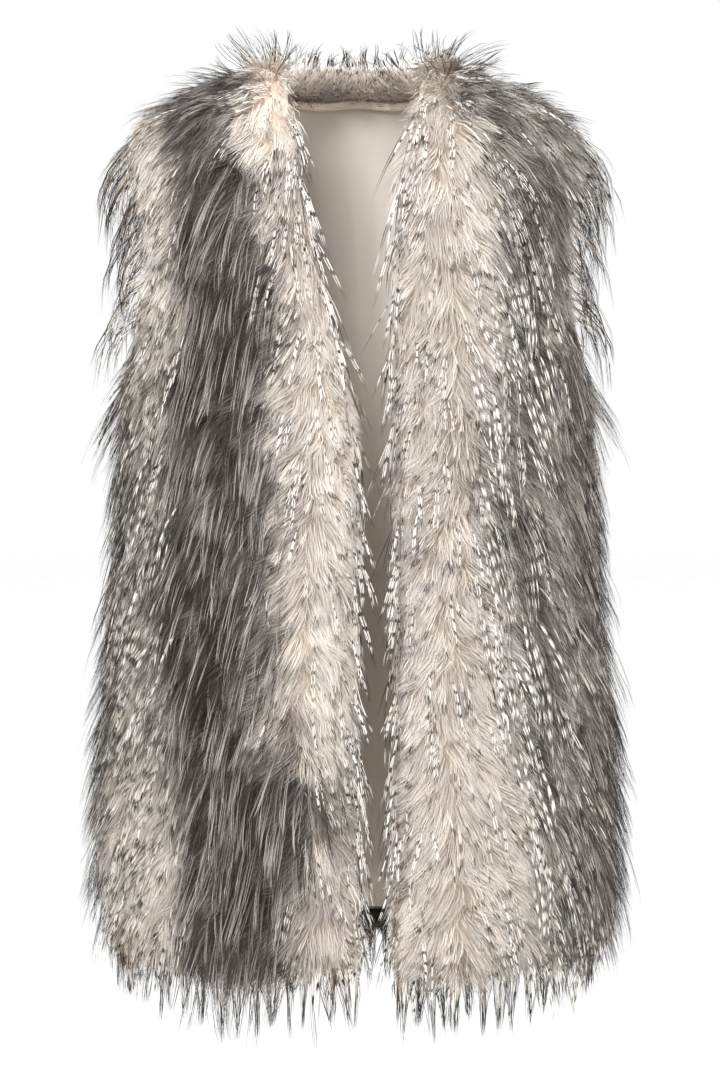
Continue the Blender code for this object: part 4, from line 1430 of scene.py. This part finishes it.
class VEST_OT_neck_facing(bpy.types.Operator):
    """The fur facing inside the back of the neck"""

    bl_idname = "vest.neck_facing"
    bl_label = "Neck facing"

    def execute(self, context):
        fur, cloth = context.scene.vest_fur, context.scene.vest_cloth
        chance = np.random.default_rng(fur.seed + 7)
        facing = node_surface("neck_facing")
        points, faces = facing.points, facing.faces
        felt = shared_finish("pelt", lambda: pelt_finish(fur))
        mesh = mesh_of("neck_facing_pelt", points, faces, felt)
        tone = mesh.attributes.new("tone", "FLOAT", "POINT")
        tone.data.foreach_set("value", np.full(len(points), 1.0, np.float32))
        piece = add_piece("neck_facing_pelt", mesh, ("neck_facing",))
        middle = points[faces].mean(axis=1)
        flat = facing.normals[faces].mean(axis=1)
        kept = facing_out(middle, unit(flat)) < 0.2
        roots = self.roots(facing, kept, cloth.facing_hairs, chance)
        hair = self.coat(roots, fur, cloth, chance)
        hair += self.long_hair(roots, fur, cloth, chance)
        return {"FINISHED"}

    def roots(self, surface, kept, count, chance):
        """Roots of hair that is combed upwards."""
        points, normals = sow(surface, kept, count, chance)
        ways = np.array((0.0, -0.10, 1.0)) + chance.normal(0, 0.16, (count, 3))
        tones = np.clip(1.0 + 0.10 * drift(points, 0.03, 8) + chance.normal(0, 0.10, count), 0, 1)
        return Roots(points, normals, along_pelt(ways, normals), tones)

    def coat(self, roots, fur, cloth, chance):
        """The facing's dense, short hair."""
        count = len(roots.points)
        room = np.maximum(FACING_TOP - roots.points[:, 2], 0.005)
        long = np.minimum(chance.uniform(*FACING_COAT_LENGTH, count), room)
        lift, spring = np.full(count, cloth.facing_lift), np.full(count, COAT_SPRING)
        curves = hair_curves(roots, long, lift, spring, COAT_STEPS, sag=-0.2)
        across = unit(np.cross(roots.ways, roots.normals))
        width = chance.uniform(*FACING_COAT_WIDTH, count)
        strands = spindle(curves, across, width, column_of(roots.tone, TONE_COLUMNS), TONE_COLUMNS)
        finish = shared_finish("undercoat_hair", lambda: coat_finish(fur))
        soft = unit(roots.normals + chance.normal(0, 0.2, roots.normals.shape))
        return hair_pieces("neck_facing_coat", strands, finish, normals=soft)

    def long_hair(self, roots, fur, cloth, chance):
        """A few long hairs with a dark tick, on some of the coat's roots."""
        some = Roots(*(field[::FACING_LONG_EVERY] for field in roots))
        count = len(some.points)
        room = FACING_TOP + FACING_TIPS - some.points[:, 2]
        long = np.minimum(chance.uniform(*FACING_LONG_LENGTH, count), room)
        lift, spring = np.full(count, cloth.facing_guard_lift), np.full(count, COAT_SPRING)
        curves = hair_curves(some, long, lift, spring, GUARD_STEPS, sag=-0.25)
        kind = np.full(count, KIND_NAMES.index("ticked"))
        column = guard_column(kind, some.points, chance)
        width = np.full(count, fur.guard_width * 0.5)
        strands, soft = fibres(curves, some.normals, width, column, FIBRE_SPREAD, chance)
        finish = shared_finish("guard_hair", lambda: guard_finish(fur))
        return hair_pieces("neck_facing_guard_hair", strands, finish, normals=soft)


class VEST_OT_lining(bpy.types.Operator):
    """The satin lining of the back, with its soft upright folds"""

    bl_idname = "vest.lining"
    bl_label = "Lining"

    def execute(self, context):
        cloth = context.scene.vest_cloth
        mesh = subdivided(node_surface("lining_back"), "lining_satin_back", levels=2)
        mesh.materials.append(shared_finish("satin_weave", lambda: satin_finish(cloth)))
        moved(mesh, lambda points: self.folds(points, cloth.fold))
        piece = add_piece("lining_satin_back", mesh, ("lining_back",))
        return {"FINISHED"}

    def folds(self, points, depth):
        """Folds that start under the neck and open towards the hem, swinging into the hollow only."""
        x, _, z = points.T
        sway = x + 0.010 * np.sin(z * 7.0) + 0.012 * z
        wave = 0.5 + 0.5 * np.sin(sway * math.tau / FOLD_PITCH + 0.8 * np.sin(z * 5.0))
        fine = 0.5 + 0.5 * np.sin(sway * math.tau / FINE_FOLD_PITCH + 2.1 * np.sin(z * 9.0 + 1.0))
        fade = smooth(-0.01, -0.07, z) * smooth(0.115, 0.07, np.abs(x)) * smooth(-0.656, -0.62, z)
        swing = np.zeros_like(points)
        swing[:, 1] = -depth * fade * (0.8 * wave**1.6 + 0.2 * fine)
        return swing


class VEST_OT_binding(bpy.types.Operator):
    """The cloth binding under the neck facing, and its stitches"""

    bl_idname = "vest.binding"
    bl_label = "Binding"

    def execute(self, context):
        cloth = context.scene.vest_cloth
        surface = node_surface("neck_binding")
        mesh = subdivided(surface, "neck_binding_tape", levels=2)
        moved(mesh, lambda points: np.array((0.0, -cloth.tape_forward, 0.0)))
        mesh.materials.append(woven("tape_weave", cloth.tape, thread=0.0007, rough=0.7, sheen=0.2))
        piece = add_piece("neck_binding_tape", mesh, ("neck_binding",))
        base = self.seam(surface, cloth)
        tree, sockets = stitch_tree()
        thread = woven("binding_thread", cloth.thread, thread=0.0003, rough=0.6, sheen=0.2)
        values = {
            "Pitch": cloth.stitch_pitch,
            "Length": cloth.stitch_length,
            "Radius": cloth.stitch_radius,
            "Material": thread,
        }
        sewn = grown_mesh("neck_binding_stitches", base, tree, sockets, values)
        stitches = add_piece("neck_binding_stitches", sewn)
        return {"FINISHED"}

    def seam(self, surface, cloth):
        """A line along the binding's inner face, near its lower edge."""
        tree = BVHTree.FromPolygons(surface.points.tolist(), surface.faces.tolist())
        low, high = surface.points.min(axis=0), surface.points.max(axis=0)
        line = []
        for x in np.linspace(low[0] + SEAM_INSET, high[0] - SEAM_INSET, SEAM_POINTS):
            column = surface.points[np.abs(surface.points[:, 0] - x) < SEAM_WINDOW]
            bottom = column[:, 2].min()
            start = Vector((x, low[1] - 0.05, bottom + cloth.stitch_rise))
            hit = tree.ray_cast(start, Vector((0, 1, 0)))[0]
            if hit is not None:
                line.append((hit.x, hit.y - cloth.stitch_forward, hit.z))
        base = bpy.data.meshes.new("binding_seam")
        base.from_pydata(line, [(k, k + 1) for k in range(len(line) - 1)], [])
        return base


class VEST_OT_hem_facing(bpy.types.Operator):
    """The dark facing inside the back's hem, with its short pile"""

    bl_idname = "vest.hem_facing"
    bl_label = "Hem facing"

    def execute(self, context):
        fur, cloth = context.scene.vest_fur, context.scene.vest_cloth
        surface = node_surface("hem_facing")
        mesh = subdivided(surface, "hem_facing_pelt", levels=1)
        finish = plain_hair("hem_facing_ground", between(cloth.dark_pile, BLACK, 0.5), cloth.dark_pile)
        mesh.materials.append(finish)
        piece = add_piece("hem_facing_pelt", mesh, ("hem_facing",))
        middle = surface.points[surface.faces].mean(axis=1)
        flat = unit(surface.normals[surface.faces].mean(axis=1))
        inner = surface.faces[facing_out(middle, flat) < -0.2]
        base = bpy.data.meshes.new("hem_facing_inner")
        base.from_pydata(surface.points.tolist(), [], inner.tolist())
        tree, sockets = pile_tree()
        dark = plain_hair("hem_facing_hair", cloth.dark_pile, between(cloth.dark_pile, fur.dark_tip, 0.35))
        values = {
            "Density": cloth.pile_density,
            "Length": cloth.pile_length,
            "Radius": cloth.pile_radius,
            "Seed": fur.seed,
            "Material": dark,
        }
        grown = grown_mesh("hem_facing_pile", base, tree, sockets, values)
        pile = add_piece("hem_facing_pile", grown)
        return {"FINISHED"}


class VEST_PT_dressing(bpy.types.Panel):
    """Lists the vest's pieces"""

    bl_idname = "VEST_PT_dressing"
    bl_label = "Fur vest"
    bl_space_type = "VIEW_3D"
    bl_region_type = "UI"
    bl_category = "Fur vest"

    def draw(self, context):
        for group in (context.scene.vest_stage, context.scene.vest_fur, context.scene.vest_cloth):
            box = self.layout.box()
            for name in group.__annotations__:
                box.prop(group, name)
        for panel in PANELS:
            self.layout.operator("vest.fur_panel", text=panel).panel = panel
        for name in ("vest.stage", "vest.neck_facing", "vest.lining", "vest.binding", "vest.hem_facing"):
            self.layout.operator(name)


CLASSES = (
    FurSettings,
    ClothSettings,
    StageSettings,
    VEST_OT_stage,
    VEST_OT_fur_panel,
    VEST_OT_neck_facing,
    VEST_OT_lining,
    VEST_OT_binding,
    VEST_OT_hem_facing,
    VEST_PT_dressing,
)


def register():
    for cls in CLASSES:
        bpy.utils.register_class(cls)
    bpy.types.Scene.vest_fur = PointerProperty(type=FurSettings)
    bpy.types.Scene.vest_cloth = PointerProperty(type=ClothSettings)
    bpy.types.Scene.vest_stage = PointerProperty(type=StageSettings)


def unregister():
    del bpy.types.Scene.vest_stage
    del bpy.types.Scene.vest_cloth
    del bpy.types.Scene.vest_fur
    for cls in reversed(CLASSES):
        bpy.utils.unregister_class(cls)


def main():
    register()
    bpy.ops.vest.stage()
    bpy.ops.vest.lining()
    bpy.ops.vest.binding()
    bpy.ops.vest.hem_facing()
    bpy.ops.vest.neck_facing()
    for panel in PANELS:
        bpy.ops.vest.fur_panel(panel=panel)


if __name__ == "__main__":
    main()
